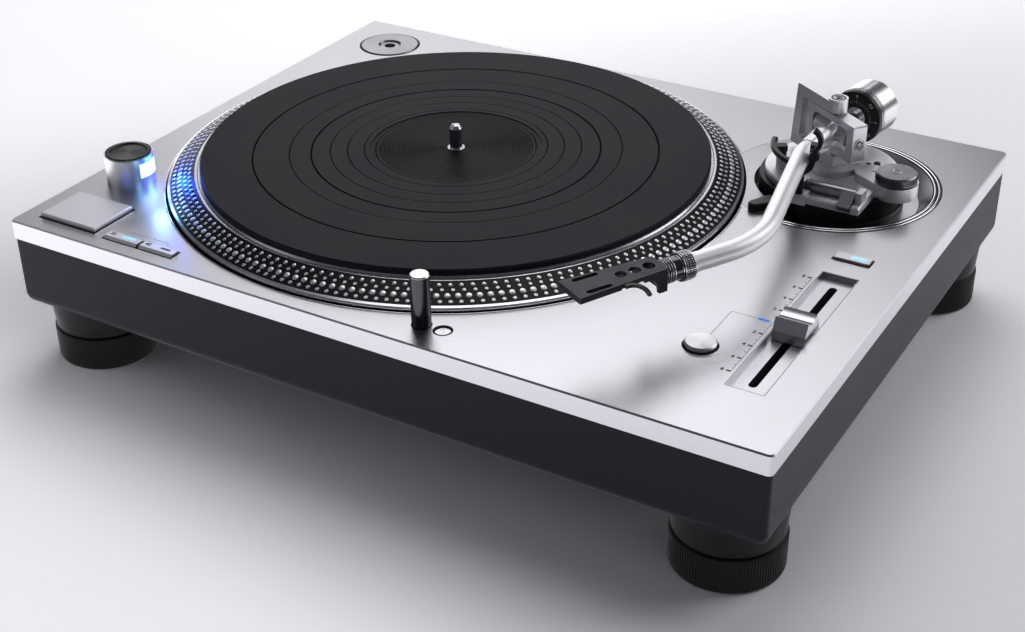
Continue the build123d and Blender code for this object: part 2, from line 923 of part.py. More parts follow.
with BuildPart() as strobe_lamp:
    with BuildSketch(tower_plane.offset(floor_top)):
        sector(lamp_inner, lamp_outer, window_heading - 40, window_heading + 40)
    extrude(amount=window_high - floor_top - 1.5)
keep(strobe_lamp, "strobe_lamp")

with BuildPart() as power_knob:
    turned(
        Vector(tower_x, tower_y, 0),
        [
            (0, floor_top + 1.0),
            (knob_shaft, floor_top + 1.0),
            (knob_shaft, knob_bottom),
            (tower_inner - cover_gap, knob_bottom),
            (tower_inner - cover_gap, knob_bottom + knob_thickness),
            (knob_top_radius, knob_bottom + knob_thickness),
            (knob_top_radius - 0.4, knob_bottom + knob_thickness - knob_dish),
            (0, knob_bottom + knob_thickness - knob_dish),
        ],
    )
keep(power_knob, "power_knob")

# Start and speed buttons over their switch board
start_bottom = panel_top + start_proud - start_thickness
speed_bottom = panel_top + speed_proud - start_thickness
start_switches = [(start_x + x * start_width / 4, start_y) for x in (-1, 1)]
speed_switches = [(speed_33_x, speed_y), (speed_45_x, speed_y)]
with BuildPart() as switch_board:
    with BuildSketch(level(deck_top)):
        with Locations(board_centre):
            Rectangle(board_width, board_depth)
    extrude(amount=board_thickness)
    with BuildSketch(level(deck_top + board_thickness)):
        with Locations(start_switches):
            Circle(switch_radius)
    extrude(amount=start_bottom - button_travel - switch_clearance - deck_top - board_thickness)
    with BuildSketch(level(deck_top + board_thickness)):
        with Locations(speed_switches):
            Circle(switch_radius)
    extrude(amount=speed_bottom - button_travel - switch_clearance - deck_top - board_thickness)
keep(switch_board, "switch_board")

with BuildPart() as start_stop_button:
    with BuildSketch(level(start_bottom)):
        with Locations((start_x, start_y)):
            RectangleRounded(start_width, start_depth, button_corner)
    extrude(amount=start_thickness)
    chamfer(start_stop_button.faces().sort_by(Axis.Z)[-1].edges(), button_corner)
keep(start_stop_button, "start_stop_button")

for label, x in (("speed_button_33", speed_33_x), ("speed_button_45", speed_45_x)):
    with BuildPart() as speed_button:
        with BuildSketch(level(speed_bottom)):
            with Locations((x, speed_y)):
                Rectangle(speed_width, speed_depth)
        extrude(amount=start_thickness)
        top_edges = speed_button.faces().sort_by(Axis.Z)[-1].edges()
        chamfer(top_edges.sort_by(Axis.Y)[0], speed_bevel)
    keep(speed_button, label)

with BuildPart() as pitch_reset_button:
    with BuildSketch(level(deck_top + button_travel + cover_gap)):
        with Locations((reset_x, reset_y)):
            Circle(reset_radius)
    extrude(amount=panel_thickness + reset_proud - button_travel - cover_gap)
    chamfer(pitch_reset_button.faces().sort_by(Axis.Z)[-1].edges(), button_corner)
keep(pitch_reset_button, "pitch_reset_button")

with BuildPart() as pitch_range_button:
    with BuildSketch(level(deck_top + button_travel + cover_gap)):
        with Locations((range_x, range_y)):
            RectangleRounded(range_width, range_depth, button_corner)
    extrude(amount=panel_thickness + range_proud - button_travel - cover_gap)
keep(pitch_range_button, "pitch_range_button")

# Pop-up light and the button that raises it
with BuildPart() as target_light:
    round_bar(light_plane, light_radius, panel_top - light_grip, panel_top + light_rise)
    chamfer(target_light.faces().sort_by(Axis.Z)[-1].edges(), button_corner)
    with BuildSketch(light_plane.offset(panel_top + light_rise - light_window_drop)):
        with Locations((-light_radius, 0)):
            Rectangle(light_radius, light_window)
    extrude(amount=-light_window, mode=Mode.SUBTRACT)
keep(target_light, "target_light")

with BuildPart() as target_light_button:
    with BuildSketch(level(deck_top + button_travel + cover_gap)):
        with Locations((light_button_centre.X, light_button_centre.Y)):
            Circle(light_button_radius)
    extrude(amount=panel_thickness - light_button_sink - button_travel - cover_gap)
keep(target_light_button, "target_light_button")

# Pitch fader, its body under the deck and its knob
with BuildPart() as pitch_fader_body:
    with BuildSketch(level(deck_top)):
        with Locations((fader_x, fader_y)):
            Rectangle(fader_opening_width - 2 * cover_gap, fader_opening - 2 * cover_gap)
    extrude(amount=-fader_body_depth)
    with BuildSketch(level(deck_top)):
        with Locations((fader_x, fader_y)):
            SlotOverall(fader_slot_length, fader_slot_width, rotation=90)
    extrude(amount=fader_body_wall - fader_body_depth, mode=Mode.SUBTRACT)
keep(pitch_fader_body, "pitch_fader_body")

knob_base = fader_floor + cover_gap
half = fader_knob_length / 2
ridge_height = knob_base + fader_knob_height
with BuildPart() as pitch_slider:
    with BuildSketch(Plane.YZ.offset(fader_x - fader_knob_width / 2)):
        with BuildLine():
            Polyline(
                (fader_y - fader_knob_ridge, ridge_height),
                (fader_y - half + 0.6, knob_base + 0.45 * fader_knob_height),
                (fader_y - half, knob_base),
                (fader_y + half, knob_base),
                (fader_y + half - 0.6, knob_base + 0.45 * fader_knob_height),
                (fader_y + fader_knob_ridge, ridge_height),
            )
            ThreePointArc(
                (fader_y - fader_knob_ridge, ridge_height),
                (fader_y, ridge_height - fader_knob_dip),
                (fader_y + fader_knob_ridge, ridge_height),
            )
        make_face()
    extrude(amount=fader_knob_width)
    block(
        (fader_x - fader_knob_width / 2, fader_x + fader_knob_width / 2),
        (fader_y - 0.5, fader_y + 0.5),
        (knob_base + 1.0, ridge_height - fader_knob_dip + 0.5),
    )
    block(
        (fader_x - fader_stem / 2, fader_x + fader_stem / 2),
        (fader_y - fader_stem_length / 2, fader_y + fader_stem_length / 2),
        (deck_top - fader_body_depth + fader_body_wall + 1.0, knob_base),
    )
keep(pitch_slider, "pitch_slider")

# Adaptor in its recess
adaptor_bottom = panel_top + adaptor_proud - adaptor_thickness
with BuildPart() as single_adaptor:
    turned(
        Vector(adaptor_x, adaptor_y, 0),
        [
            (adaptor_bore, adaptor_bottom),
            (adaptor_radius, adaptor_bottom),
            (adaptor_radius, panel_top + adaptor_proud - button_corner),
            (adaptor_radius - button_corner, panel_top + adaptor_proud),
            (adaptor_boss + adaptor_dish, panel_top + adaptor_proud),
            (adaptor_boss, panel_top + adaptor_proud - adaptor_dish),
            (adaptor_bore, panel_top + adaptor_proud - adaptor_dish),
        ],
    )
keep(single_adaptor, "single_adaptor")

# Terminals and mains socket at the rear
plate_plane = Plane.XZ.offset(terminal_sink - rear_face)
jack_places = [(terminal_x + (n - 1) * jack_spacing, terminal_middle) for n in (0, 1)]
ground_place = (terminal_x + jack_spacing, terminal_middle)
with BuildPart() as rear_terminals:
    with BuildSketch(plate_plane):
        with Locations((terminal_x, terminal_middle)):
            Rectangle(terminal_width, terminal_height)
    extrude(amount=terminal_plate)
    with BuildSketch(plate_plane):
        with Locations(jack_places):
            Circle(jack_radius)
            Circle(jack_radius - 0.8, mode=Mode.SUBTRACT)
            Circle(jack_pin_radius)
        with Locations(ground_place):
            Circle(ground_radius)
    extrude(amount=-jack_length)
    with BuildSketch(plate_plane):
        with Locations(jack_places):
            Circle(jack_radius)
    extrude(amount=-2.0)
keep(rear_terminals, "rear_terminals")

socket_width = inlet_width - 2 * inlet_wall
socket_height = inlet_height - 2 * inlet_wall
with BuildPart() as ac_inlet:
    with BuildSketch(Plane.XZ.offset(-rear_face)):
        with Locations((inlet_x, terminal_middle)):
            Rectangle(inlet_width, inlet_height)
    extrude(amount=terminal_sink + terminal_plate)
    with BuildSketch(Plane.XZ.offset(-rear_face)):
        with Locations((inlet_x, terminal_middle)):
            Rectangle(socket_width, socket_height)
    extrude(amount=terminal_sink, mode=Mode.SUBTRACT)
    with BuildSketch(plate_plane):
        for side in (-1, 1):
            with Locations((inlet_x + side * inlet_pin_spacing / 2, terminal_middle)):
                Circle(inlet_pin_radius)
    extrude(amount=-inlet_pin_length)
keep(ac_inlet, "ac_inlet")

# Boards hung under the deck
board_top = inside_top - board_spacer
post_span_x = main_board_width - 2 * board_post_inset
post_span_y = main_board_depth - 2 * board_post_inset
with BuildPart() as main_board:
    with BuildSketch(level(board_top - board_thickness)):
        with Locations((main_board_x, main_board_y)):
            Rectangle(main_board_width, main_board_depth)
    extrude(amount=board_thickness)
    with BuildSketch(level(board_top)):
        with Locations((main_board_x, main_board_y)):
            with GridLocations(post_span_x, post_span_y, 2, 2):
                Circle(board_post_radius)
    extrude(amount=board_spacer)
    with BuildSketch(level(board_top - board_thickness)):
        with Locations((main_board_x - chip_size, main_board_y)):
            Rectangle(chip_size, chip_size)
        with Locations((main_board_x + chip_size, main_board_y - driver_offset)):
            Rectangle(driver_width, driver_depth)
    extrude(amount=-chip_height)
    with BuildSketch(level(board_top - board_thickness)):
        with Locations((main_board_x, main_board_y + capacitor_offset)):
            with GridLocations(capacitor_spacing, 0, 3, 1):
                Circle(capacitor_radius)
    extrude(amount=-capacitor_height)
keep(main_board, "main_board")

with BuildPart() as power_supply:
    with BuildSketch(level(inside_top)):
        with Locations((supply_x, supply_y)):
            Rectangle(supply_width, supply_depth)
    extrude(amount=-supply_height)
    chamfer(power_supply.faces().sort_by(Axis.Z)[0].edges(), 1.5)
keep(power_supply, "power_supply")

# Arm mounting: the dished well in the panel and the fixed guide in it
with BuildPart() as arm_well:
    with BuildSketch(pivot_plane.offset(deck_top)):
        Circle(arm_well_radius - arm_well_seam)
    extrude(amount=panel_thickness)
    with BuildSketch(level(deck_top)):
        with Locations((platter_x, platter_y)):
            Circle(well_radius)
    extrude(amount=panel_thickness, mode=Mode.SUBTRACT)
    with BuildSketch(pivot_plane.offset(dish_floor)):
        Circle(dish_inner_radius)
    extrude(amount=dish_depth, mode=Mode.SUBTRACT)
    with BuildSketch(pivot_plane.offset(panel_top)):
        Circle(dish_radius)
        with Locations((dish_split - dish_radius, 0)):
            Rectangle(2 * dish_radius, 2 * dish_radius, mode=Mode.SUBTRACT)
    extrude(amount=-dish_depth, taper=dish_slope, mode=Mode.SUBTRACT)
    with BuildSketch(pivot_plane.offset(dish_floor)):
        Circle(guide_radius)
        Circle(guide_bore, mode=Mode.SUBTRACT)
    extrude(amount=guide_height)
keep(arm_well, "arm_well")

hub_bottom = ring_bottom + height_ring_web + base_gap
bore = guide_radius + ring_clearance
with BuildPart() as height_ring:
    turned(
        pivot,
        [
            (bore, ring_bottom),
            (height_ring_lip, ring_bottom),
            (height_ring_lip, ring_bottom + height_ring_lip_height),
            (height_ring_radius, ring_bottom + height_ring_lip_height),
            (height_ring_radius, ring_top),
            (height_ring_inner, ring_top),
            (height_ring_inner, ring_bottom + height_ring_web),
            (bore, ring_bottom + height_ring_web),
        ],
    )
keep(height_ring, "height_ring")

# The arm base that rises on the guide, with its pod, rest block and cue pocket
base_left = pivot.X - base_front_left
base_right = pivot.X + base_front_right
base_front_y = pivot.Y - base_front
cue_y = pivot.Y + cue_y_offset
cue_height = panel_top + cue_rise
cue_start = pivot.X + cue_shaft_left
cue_end = pivot.X + cue_shaft_right
boss_top = cue_height + cue_shaft_radius
pocket_half = cue_shaft_radius + cue_gap
pocket_floor = cue_height - pocket_half
tab_start = pivot.X + cue_tab_left
tab_end = tab_start + cue_tab_width
pod_top = panel_top + skate_pod_top
lift_top = base_top + lift_cylinder_height
block_top = base_top + rest_block_height
with BuildPart() as arm_base:
    with BuildSketch(level(base_bottom)):
        with Locations((pivot.X, pivot.Y)):
            Circle(base_flange_radius)
        with Locations(((base_left + base_right) / 2, (base_front_y + pivot.Y) / 2)):
            Rectangle(base_right - base_left, base_front)
    extrude(amount=base_flange_thickness)
    chamfer(arm_base.faces().sort_by(Axis.Z)[-1].edges(), base_chamfer)
    with BuildSketch(pivot_plane.offset(hub_bottom)):
        Circle(bore + base_hub_wall)
    extrude(amount=base_bottom - hub_bottom)
    with BuildSketch(pivot_plane.offset(base_top)):
        Circle(turret_radius)
    extrude(amount=turret_height)
    with BuildSketch(level(base_bottom)):
        with Locations((pivot.X + skate_web_x, pivot.Y + skate_web_y)):
            Circle(skate_web_radius)
        with Locations((skate_centre.X, skate_centre.Y)):
            Circle(skate_pod_radius)
        make_hull()
    extrude(amount=pod_top - base_bottom)
    block(
        (base_left, pivot.X + rest_block_right),
        (pivot.Y - rest_block_front, pivot.Y - rest_block_back),
        (base_bottom, block_top),
    )
    for outer in (cue_start - cue_gap - cue_boss_length, cue_end + cue_gap):
        block((outer, outer + cue_boss_length), (cue_y - cue_boss_half, cue_y + cue_boss_half), (base_bottom, boss_top))
    with BuildSketch(level(base_top)):
        with Locations((lift_centre.X, lift_centre.Y)):
            Circle(lift_cylinder_radius)
    extrude(amount=lift_cylinder_height)
    with BuildSketch(pivot_plane.offset(hub_bottom)):
        Circle(bore)
    extrude(amount=dish_floor + guide_height + base_gap - hub_bottom, mode=Mode.SUBTRACT)
    block(
        (cue_start - cue_gap, cue_end + cue_gap),
        (cue_y - pocket_half, cue_y + pocket_half),
        (pocket_floor, boss_top + 1.0),
        mode=Mode.SUBTRACT,
    )
    block(
        (tab_start - cue_gap, tab_end + cue_gap),
        (base_front_y - 1.0, cue_y),
        (base_top - cue_notch_depth, boss_top + 1.0),
        mode=Mode.SUBTRACT,
    )
    with BuildSketch(Plane.YZ.offset(cue_start - cue_gap - cue_pin_length)):
        with Locations((cue_y, cue_height)):
            Circle(cue_pin_radius + pivot_clearance)
    extrude(amount=cue_end - cue_start + 2 * cue_gap + 2 * cue_pin_length, mode=Mode.SUBTRACT)
    with BuildSketch(level(lift_top)):
        with Locations((lift_centre.X, lift_centre.Y)):
            Circle(lift_rod_radius + pivot_clearance)
    extrude(amount=-lift_cylinder_height - 2.0, mode=Mode.SUBTRACT)
    with BuildSketch(level(pod_top)):
        with Locations((skate_centre.X, skate_centre.Y)):
            Circle(skate_shaft + pivot_clearance)
    extrude(amount=-skate_shaft_length - 0.5, mode=Mode.SUBTRACT)
keep(arm_base, "arm_base")

with BuildPart() as anti_skate_dial:
    turned(
        skate_centre,
        [
            (0, pod_top - skate_shaft_length),
            (skate_shaft, pod_top - skate_shaft_length),
            (skate_shaft, pod_top + skate_gap),
            (skate_radius, pod_top + skate_gap),
            (skate_radius, pod_top + skate_gap + skate_thickness - base_chamfer),
            (skate_radius - base_chamfer, pod_top + skate_gap + skate_thickness),
            (0, pod_top + skate_gap + skate_thickness),
        ],
    )
keep(anti_skate_dial, "anti_skate_dial")

# Lock paddle beside the height ring, turning on a pin in the panel
with BuildPart() as height_lock_lever:
    with BuildSketch(Plane(origin=(lock_centre.X, lock_centre.Y, panel_top + lock_gap), x_dir=heading(lock_direction))):
        Circle(lock_hub_radius)
        with Locations((lock_length, 0)):
            Circle(lock_tip_radius)
        make_hull()
    extrude(amount=lock_height)
    chamfer(height_lock_lever.faces().sort_by(Axis.Z)[-1].edges(), base_chamfer)
keep(height_lock_lever, "height_lock_lever")

# Cue lever, and the curved bar that it lifts under the arm
with BuildPart() as cue_lever:
    shaft_plane = Plane.YZ.offset(cue_start)
    with BuildSketch(shaft_plane):
        with Locations((cue_y, cue_height)):
            Circle(cue_shaft_radius)
    extrude(amount=cue_end - cue_start)
    with BuildSketch(Plane.YZ.offset(cue_start - cue_gap - cue_pin_length)):
        with Locations((cue_y, cue_height)):
            Circle(cue_pin_radius)
    extrude(amount=cue_end - cue_start + 2 * cue_gap + 2 * cue_pin_length)
    with BuildSketch(Plane.YZ.offset(tab_start)):
        with Locations(Location((cue_y, cue_height), cue_tab_drop)):
            with Locations((-cue_tab_length / 2, cue_shaft_radius - cue_tab_thickness / 2)):
                Rectangle(cue_tab_length, cue_tab_thickness)
    extrude(amount=cue_tab_width)
keep(cue_lever, "cue_lever")

bar_bottom = panel_top + lift_bar_rise - lift_bar_thickness
with BuildPart() as cue_lift:
    with BuildSketch(pivot_plane.offset(bar_bottom)):
        sector(
            lift_bar_radius - lift_bar_width / 2,
            lift_bar_radius + lift_bar_width / 2,
            lift_bar_start,
            lift_bar_end,
        )
    extrude(amount=lift_bar_thickness)
    fillet(cue_lift.edges(), lift_bar_round)
    with BuildSketch(level(lift_top - lift_cylinder_height)):
        with Locations((lift_centre.X, lift_centre.Y)):
            Circle(lift_rod_radius)
    extrude(amount=bar_bottom + lift_bar_thickness - lift_top + lift_cylinder_height)
    with BuildSketch(pivot_plane.offset(bar_bottom)):
        sector(lift_distance - lift_rod_radius, lift_bar_radius, lift_heading - 5, lift_heading + 5)
    extrude(amount=lift_bar_thickness)
keep(cue_lift, "cue_lift")

# Arm rest with its fin, and the clamp hook that turns on its pin
stem_bottom = block_top - arm_height
rest_outer = tube_seat + rest_wall
with BuildPart() as arm_rest:
    with BuildSketch(rest_plane.offset(-rest_thickness / 2)):
        sector(tube_seat, rest_outer, -115, 20)
        with Locations((tube_seat + rest_fin_width / 2, rest_fin / 2)):
            Rectangle(rest_fin_width, rest_fin)
        with Locations((0, (stem_bottom - tube_seat - 1.0) / 2)):
            Rectangle(rest_stem, -stem_bottom - tube_seat - 1.0)
    extrude(amount=rest_thickness)
    with BuildSketch(rest_plane.offset(rest_thickness / 2)):
        with Locations((clamp_pin_x, clamp_pin_y)):
            Circle(clamp_pin_radius)
    extrude(amount=clamp_gap + clamp_thickness)
keep(arm_rest, "arm_rest")

with BuildPart() as arm_clamp:
    with BuildSketch(rest_plane.offset(rest_thickness / 2 + clamp_gap)):
        sector(tube_seat, tube_seat + clamp_wall, 28, 160)
        with Locations((clamp_pin_x, clamp_pin_y)):
            Circle(clamp_hub_radius)
            Circle(clamp_pin_radius + pivot_clearance, mode=Mode.SUBTRACT)
    extrude(amount=clamp_thickness)
pin = rest_plane.from_local_coords(Vector(clamp_pin_x, clamp_pin_y, 0))
clamp_axis = Axis(pin, heading(arm_middle_heading))
arm_clamp.part = arm_clamp.part.rotate(clamp_axis, -clamp_open_angle)
keep(arm_clamp, "arm_clamp")

# Fixed bracket of the gimbal with its two upright pivot screws
ring_top_y = ring_half_height
bracket_under = ring_half_height + bracket_top_gap
bracket_over = bracket_under + bracket_arm
bracket_sill = -ring_half_height - bracket_foot_gap
bracket_floor = turret_top - arm_height
boss_reach = bracket_over + pivot_boss_proud
top_plane = pivot_plane.offset(arm_height)
with BuildPart() as arm_bracket:
    with BuildSketch(gimbal_plane.offset(-bracket_depth / 2)):
        with BuildLine():
            Polyline(
                (0, bracket_under),
                (0, bracket_over),
                (-bracket_top_outer, bracket_over),
                (-bracket_bottom_outer, bracket_floor),
                (bracket_foot_reach, bracket_floor),
                (bracket_foot_reach, bracket_sill),
                (-bracket_inner - bracket_arm / 4, bracket_sill),
                (-bracket_inner, bracket_under),
                close=True,
            )
        face = make_face()
        fillet(face.vertices(), bracket_round)
    extrude(amount=bracket_depth)
    with BuildSketch(top_plane.offset(bracket_under)):
        Circle(pivot_boss_radius)
    extrude(amount=boss_reach - bracket_under)
    with BuildSketch(top_plane.offset(bracket_under)):
        Circle(pivot_screw_radius)
    extrude(amount=boss_reach - bracket_under, mode=Mode.SUBTRACT)
    with BuildSketch(top_plane.offset(bracket_floor)):
        Circle(pivot_screw_radius)
    extrude(amount=bracket_sill - bracket_floor, mode=Mode.SUBTRACT)
keep(arm_bracket, "arm_bracket")

tip_top = ring_half_height - pivot_tip_length
with BuildPart() as pivot_screws:
    round_bar(top_plane, pivot_screw_radius, bracket_under, boss_reach - 0.6)
    round_bar(top_plane, pivot_tip_radius, tip_top, bracket_under)
    round_bar(top_plane, pivot_screw_radius, bracket_floor, bracket_sill)
    round_bar(top_plane, pivot_tip_radius, bracket_sill, -tip_top)
keep(pivot_screws, "pivot_screws")

# Swinging gimbal ring, its side pivots and the arm block between them
side_plane = Plane(origin=(pivot.X, pivot.Y, arm_height), z_dir=heading(gimbal_heading + 90))
window_half = ring_half_width - ring_side_bar
block_half = window_half - block_side_gap
with BuildPart() as gimbal_ring:
    with BuildSketch(gimbal_plane.offset(-ring_depth / 2)):
        RectangleRounded(2 * ring_half_width, 2 * ring_half_height, bracket_round)
        RectangleRounded(
            2 * window_half,
            2 * (ring_half_height - ring_top_bar),
            ring_window_round,
            mode=Mode.SUBTRACT,
        )
    extrude(amount=ring_depth)
    round_bar(top_plane, pivot_tip_radius + pivot_clearance, tip_top, ring_half_height, mode=Mode.SUBTRACT)
    round_bar(top_plane, pivot_tip_radius + pivot_clearance, -ring_half_height, -tip_top, mode=Mode.SUBTRACT)
    round_bar(side_plane, pivot_screw_radius, -ring_half_width, ring_half_width, mode=Mode.SUBTRACT)
keep(gimbal_ring, "gimbal_ring")

with BuildPart() as side_pivots:
    round_bar(side_plane, pivot_screw_radius, window_half, ring_half_width + 0.4)
    round_bar(side_plane, pivot_screw_radius, -ring_half_width - 0.4, -window_half)
    round_bar(side_plane, pivot_tip_radius, block_half - pivot_tip_length, window_half)
    round_bar(side_plane, pivot_tip_radius, -window_half, pivot_tip_length - block_half)
keep(side_pivots, "side_pivots")

cone_axis = Axis((pivot.X, pivot.Y, arm_height), heading(arm_heading))
cone_plane = Plane(
    origin=(pivot.X, pivot.Y, arm_height), x_dir=heading(arm_heading), z_dir=heading(arm_heading - 90)
)
tip_hole = pivot_tip_length + pivot_clearance
with BuildPart() as pivot_block:
    with BuildSketch(cone_plane):
        with BuildLine():
            Polyline(
                (-rear_hub_length, 0),
                (-rear_hub_length, arm_hub_radius),
                (arm_cone_start, arm_hub_radius),
                (arm_cone_start, arm_cone_radius),
                (arm_cone_start + 2.0, arm_cone_radius),
                (arm_cone_end, tube_radius + 0.4),
                (arm_cone_end, 0),
                close=True,
            )
        make_face()
    revolve(axis=cone_axis)
    round_bar(side_plane, block_radius, -block_half, block_half)
    round_bar(front_arm_plane, tube_radius, arm_cone_start, arm_cone_end, mode=Mode.SUBTRACT)
    hole = pivot_tip_radius + pivot_clearance
    round_bar(side_plane, hole, block_half - tip_hole, block_half, mode=Mode.SUBTRACT)
    round_bar(side_plane, hole, -block_half, tip_hole - block_half, mode=Mode.SUBTRACT)
keep(pivot_block, "pivot_block")

# Arm tube through both bends, ending in the ferrule behind the lock nut
elbow_reach = arm_elbow_radius * tan(radians(arm_middle_heading - arm_heading) / 2)
bend_reach = arm_bend_radius * tan(radians(arm_middle_heading - headshell_heading) / 2)
tube_start = pivot + heading(arm_heading, arm_cone_start)
tube_end = web_back - heading(headshell_heading, collar_length + nut_gap)
elbow_in = arm_elbow - heading(arm_heading, elbow_reach)
elbow_out = arm_elbow + heading(arm_middle_heading, elbow_reach)
bend_in = arm_bend - heading(arm_middle_heading, bend_reach)
bend_out = arm_bend + heading(headshell_heading, bend_reach)
elbow_middle = bend_middle(arm_elbow, arm_heading, arm_middle_heading, arm_elbow_radius)
bend_centre = bend_middle(arm_bend, arm_middle_heading, headshell_heading, arm_bend_radius)
nut_start = collar_length + nut_gap
ferrule_start = nut_start + nut_length + nut_gap
with BuildPart() as arm_tube:
    with BuildLine(level(arm_height)) as arm_path:
        Line((tube_start.X, tube_start.Y), (elbow_in.X, elbow_in.Y))
        ThreePointArc(
            (elbow_in.X, elbow_in.Y),
            (elbow_middle.X, elbow_middle.Y),
            (elbow_out.X, elbow_out.Y),
        )
        Line((elbow_out.X, elbow_out.Y), (bend_in.X, bend_in.Y))
        ThreePointArc(
            (bend_in.X, bend_in.Y),
            (bend_centre.X, bend_centre.Y),
            (bend_out.X, bend_out.Y),
        )
        Line((bend_out.X, bend_out.Y), (tube_end.X, tube_end.Y))
    with BuildSketch(front_arm_plane.offset(arm_cone_start)):
        Circle(tube_radius)
        Circle(tube_bore, mode=Mode.SUBTRACT)
    sweep(path=arm_path.wire())
    with BuildSketch(nut_plane.offset(ferrule_start)):
        Circle(ferrule_radius)
        Circle(tube_radius - 0.2, mode=Mode.SUBTRACT)
    extrude(amount=ferrule_length)
keep(arm_tube, "arm_tube")

with BuildPart() as rear_shaft:
    round_bar(rear_arm_plane, rear_shaft_radius, rear_hub_length, rear_shaft_length)
keep(rear_shaft, "rear_shaft")

# Counterweight, its threaded sleeve and the pressure dial
dial_start = weight_start - dial_gap - dial_thickness
sleeve_bore = rear_shaft_radius + sleeve_clearance
weight_bore = sleeve_radius + sleeve_clearance
with BuildPart() as weight_sleeve:
    round_bar(rear_arm_plane, sleeve_radius, dial_start, dial_start + sleeve_length)
    round_bar(rear_arm_plane, sleeve_bore, dial_start, dial_start + sleeve_length, mode=Mode.SUBTRACT)
keep(weight_sleeve, "weight_sleeve")

with BuildPart() as counterweight:
    round_bar(rear_arm_plane, weight_radius, weight_start, weight_start + weight_length)
    rims = counterweight.edges().filter_by(GeomType.CIRCLE)
    chamfer(rims, weight_chamfer)
    round_bar(rear_arm_plane, weight_bore, weight_start, weight_start + weight_length, mode=Mode.SUBTRACT)
keep(counterweight, "counterweight")

with BuildPart() as pressure_dial:
    round_bar(rear_arm_plane, weight_radius, dial_start, dial_start + dial_thickness)
    round_bar(rear_arm_plane, weight_bore, dial_start, dial_start + dial_thickness, mode=Mode.SUBTRACT)
keep(pressure_dial, "pressure_dial")

# Headshell: a thin tapering plate with two slots, an arched web and a plug for the tube
shell_length = slot_from_web + headshell_front
shell_top = arm_height + headshell_rise
shell_side = Plane(
    origin=(web_back.X, web_back.Y, arm_height), x_dir=heading(headshell_heading), z_dir=heading(headshell_heading - 90)
)
shell_plan = Plane(origin=(web_back.X, web_back.Y, shell_top), x_dir=heading(headshell_heading))
under = headshell_rise - headshell_thickness
web_low = headshell_rise - headshell_web_height
front_start = shell_length - headshell_front_length
arch_start = headshell_web_thickness + 2.6
arch_middle = arch_start + headshell_arch * 0.26
pocket_end = arch_start + headshell_arch + 1.0
with BuildPart() as headshell:
    with BuildSketch(shell_side.offset(-headshell_front_width / 2)):
        with BuildLine():
            Polyline(
                (arch_start, web_low),
                (0, web_low),
                (0, headshell_rise),
                (shell_length, headshell_rise),
                (shell_length, headshell_rise - headshell_front_depth),
                (front_start, headshell_rise - headshell_front_depth),
                (front_start, under),
                (arch_start + headshell_arch, under),
            )
            ThreePointArc(
                (arch_start + headshell_arch, under),
                (arch_middle, (under + web_low) / 2 + headshell_arch * 0.2),
                (arch_start, web_low),
            )
        make_face()
    extrude(amount=headshell_front_width)
    with BuildSketch(shell_plan.offset(-headshell_web_height - 1.0)):
        with BuildLine():
            Polyline(
                (0, -headshell_rear_width / 2),
                (shell_length, -headshell_front_width / 2),
                (shell_length, headshell_front_width / 2),
                (0, headshell_rear_width / 2),
                close=True,
            )
        make_face()
    extrude(amount=headshell_web_height + 2.0, mode=Mode.INTERSECT)
    with BuildSketch(shell_plan.offset(-headshell_thickness)):
        with Locations(((headshell_web_thickness + pocket_end) / 2, 0)):
            Rectangle(pocket_end - headshell_web_thickness, headshell_rear_width - 2 * headshell_side)
    extrude(amount=-headshell_web_height, mode=Mode.SUBTRACT)
    with BuildSketch(shell_plan):
        for side in (-1, 1):
            with Locations((slot_from_web, side * headshell_slot_spacing / 2)):
                SlotOverall(headshell_slot_length, headshell_slot_width)
        for radius, place in zip(headshell_hole_radii, headshell_hole_places):
            with Locations((slot_from_web - place, 0)):
                Circle(radius)
    extrude(amount=-headshell_front_depth - 1.0, mode=Mode.SUBTRACT)
    round_bar(nut_plane, collar_radius, 0, collar_length)
    round_bar(nut_plane, connector_radius, collar_length, collar_length + connector_length)
keep(headshell, "headshell")

with BuildPart() as headshell_lock_nut:
    round_bar(nut_plane, nut_radius, nut_start + nut_barrel_length, nut_start + nut_length)
    rims = headshell_lock_nut.edges().filter_by(GeomType.CIRCLE)
    chamfer(rims, weight_chamfer / 2)
    round_bar(nut_plane, nut_barrel_radius, nut_start, nut_start + nut_length)
    round_bar(nut_plane, tube_radius + pivot_clearance, nut_start, nut_start + nut_length, mode=Mode.SUBTRACT)
keep(headshell_lock_nut, "headshell_lock_nut")

finger_forward = slot_from_web - finger_place
finger_side = headshell_rear_width / 2 + finger_start_gap + finger_width / 2
finger_side += (headshell_front_width - headshell_rear_width) / 2 * finger_forward / shell_length
finger_height = -headshell_thickness / 2
with BuildPart() as finger_lift:
    with BuildLine(shell_plan) as finger_path:
        ThreePointArc(
            (finger_forward, finger_side, finger_height),
            (finger_forward - finger_sweep * 0.7, finger_side + finger_reach * 0.23, finger_height),
            (finger_forward - finger_sweep, finger_side + finger_reach, finger_height - finger_drop),
        )
    start = finger_path.wire() @ 0
    along = finger_path.wire() % 0
    with BuildSketch(Plane(origin=start, z_dir=along, x_dir=heading(headshell_heading + 90))):
        Rectangle(finger_width, finger_thickness)
    sweep(path=finger_path.wire())
keep(finger_lift, "finger_lift")

os.makedirs("parts", exist_ok=True)
for piece in parts:
    export_step(piece, "parts/" + piece.label + ".step")
print("pieces", len(parts))
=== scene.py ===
# %% [markdown]
# A direct-drive turntable in a light studio. The solid model comes in as the frame: every piece of it
# keeps its place, and this lesson gives it finishes, light, and the fine work that a solid model leaves
# out, such as strobe dots, knurling, scales and numbers. Blender works in metres here, with Z up and the
# front towards -Y.

from math import atan2, cos, pi, radians, sin, tan

import bpy
from mathutils import Euler, Matrix, Vector


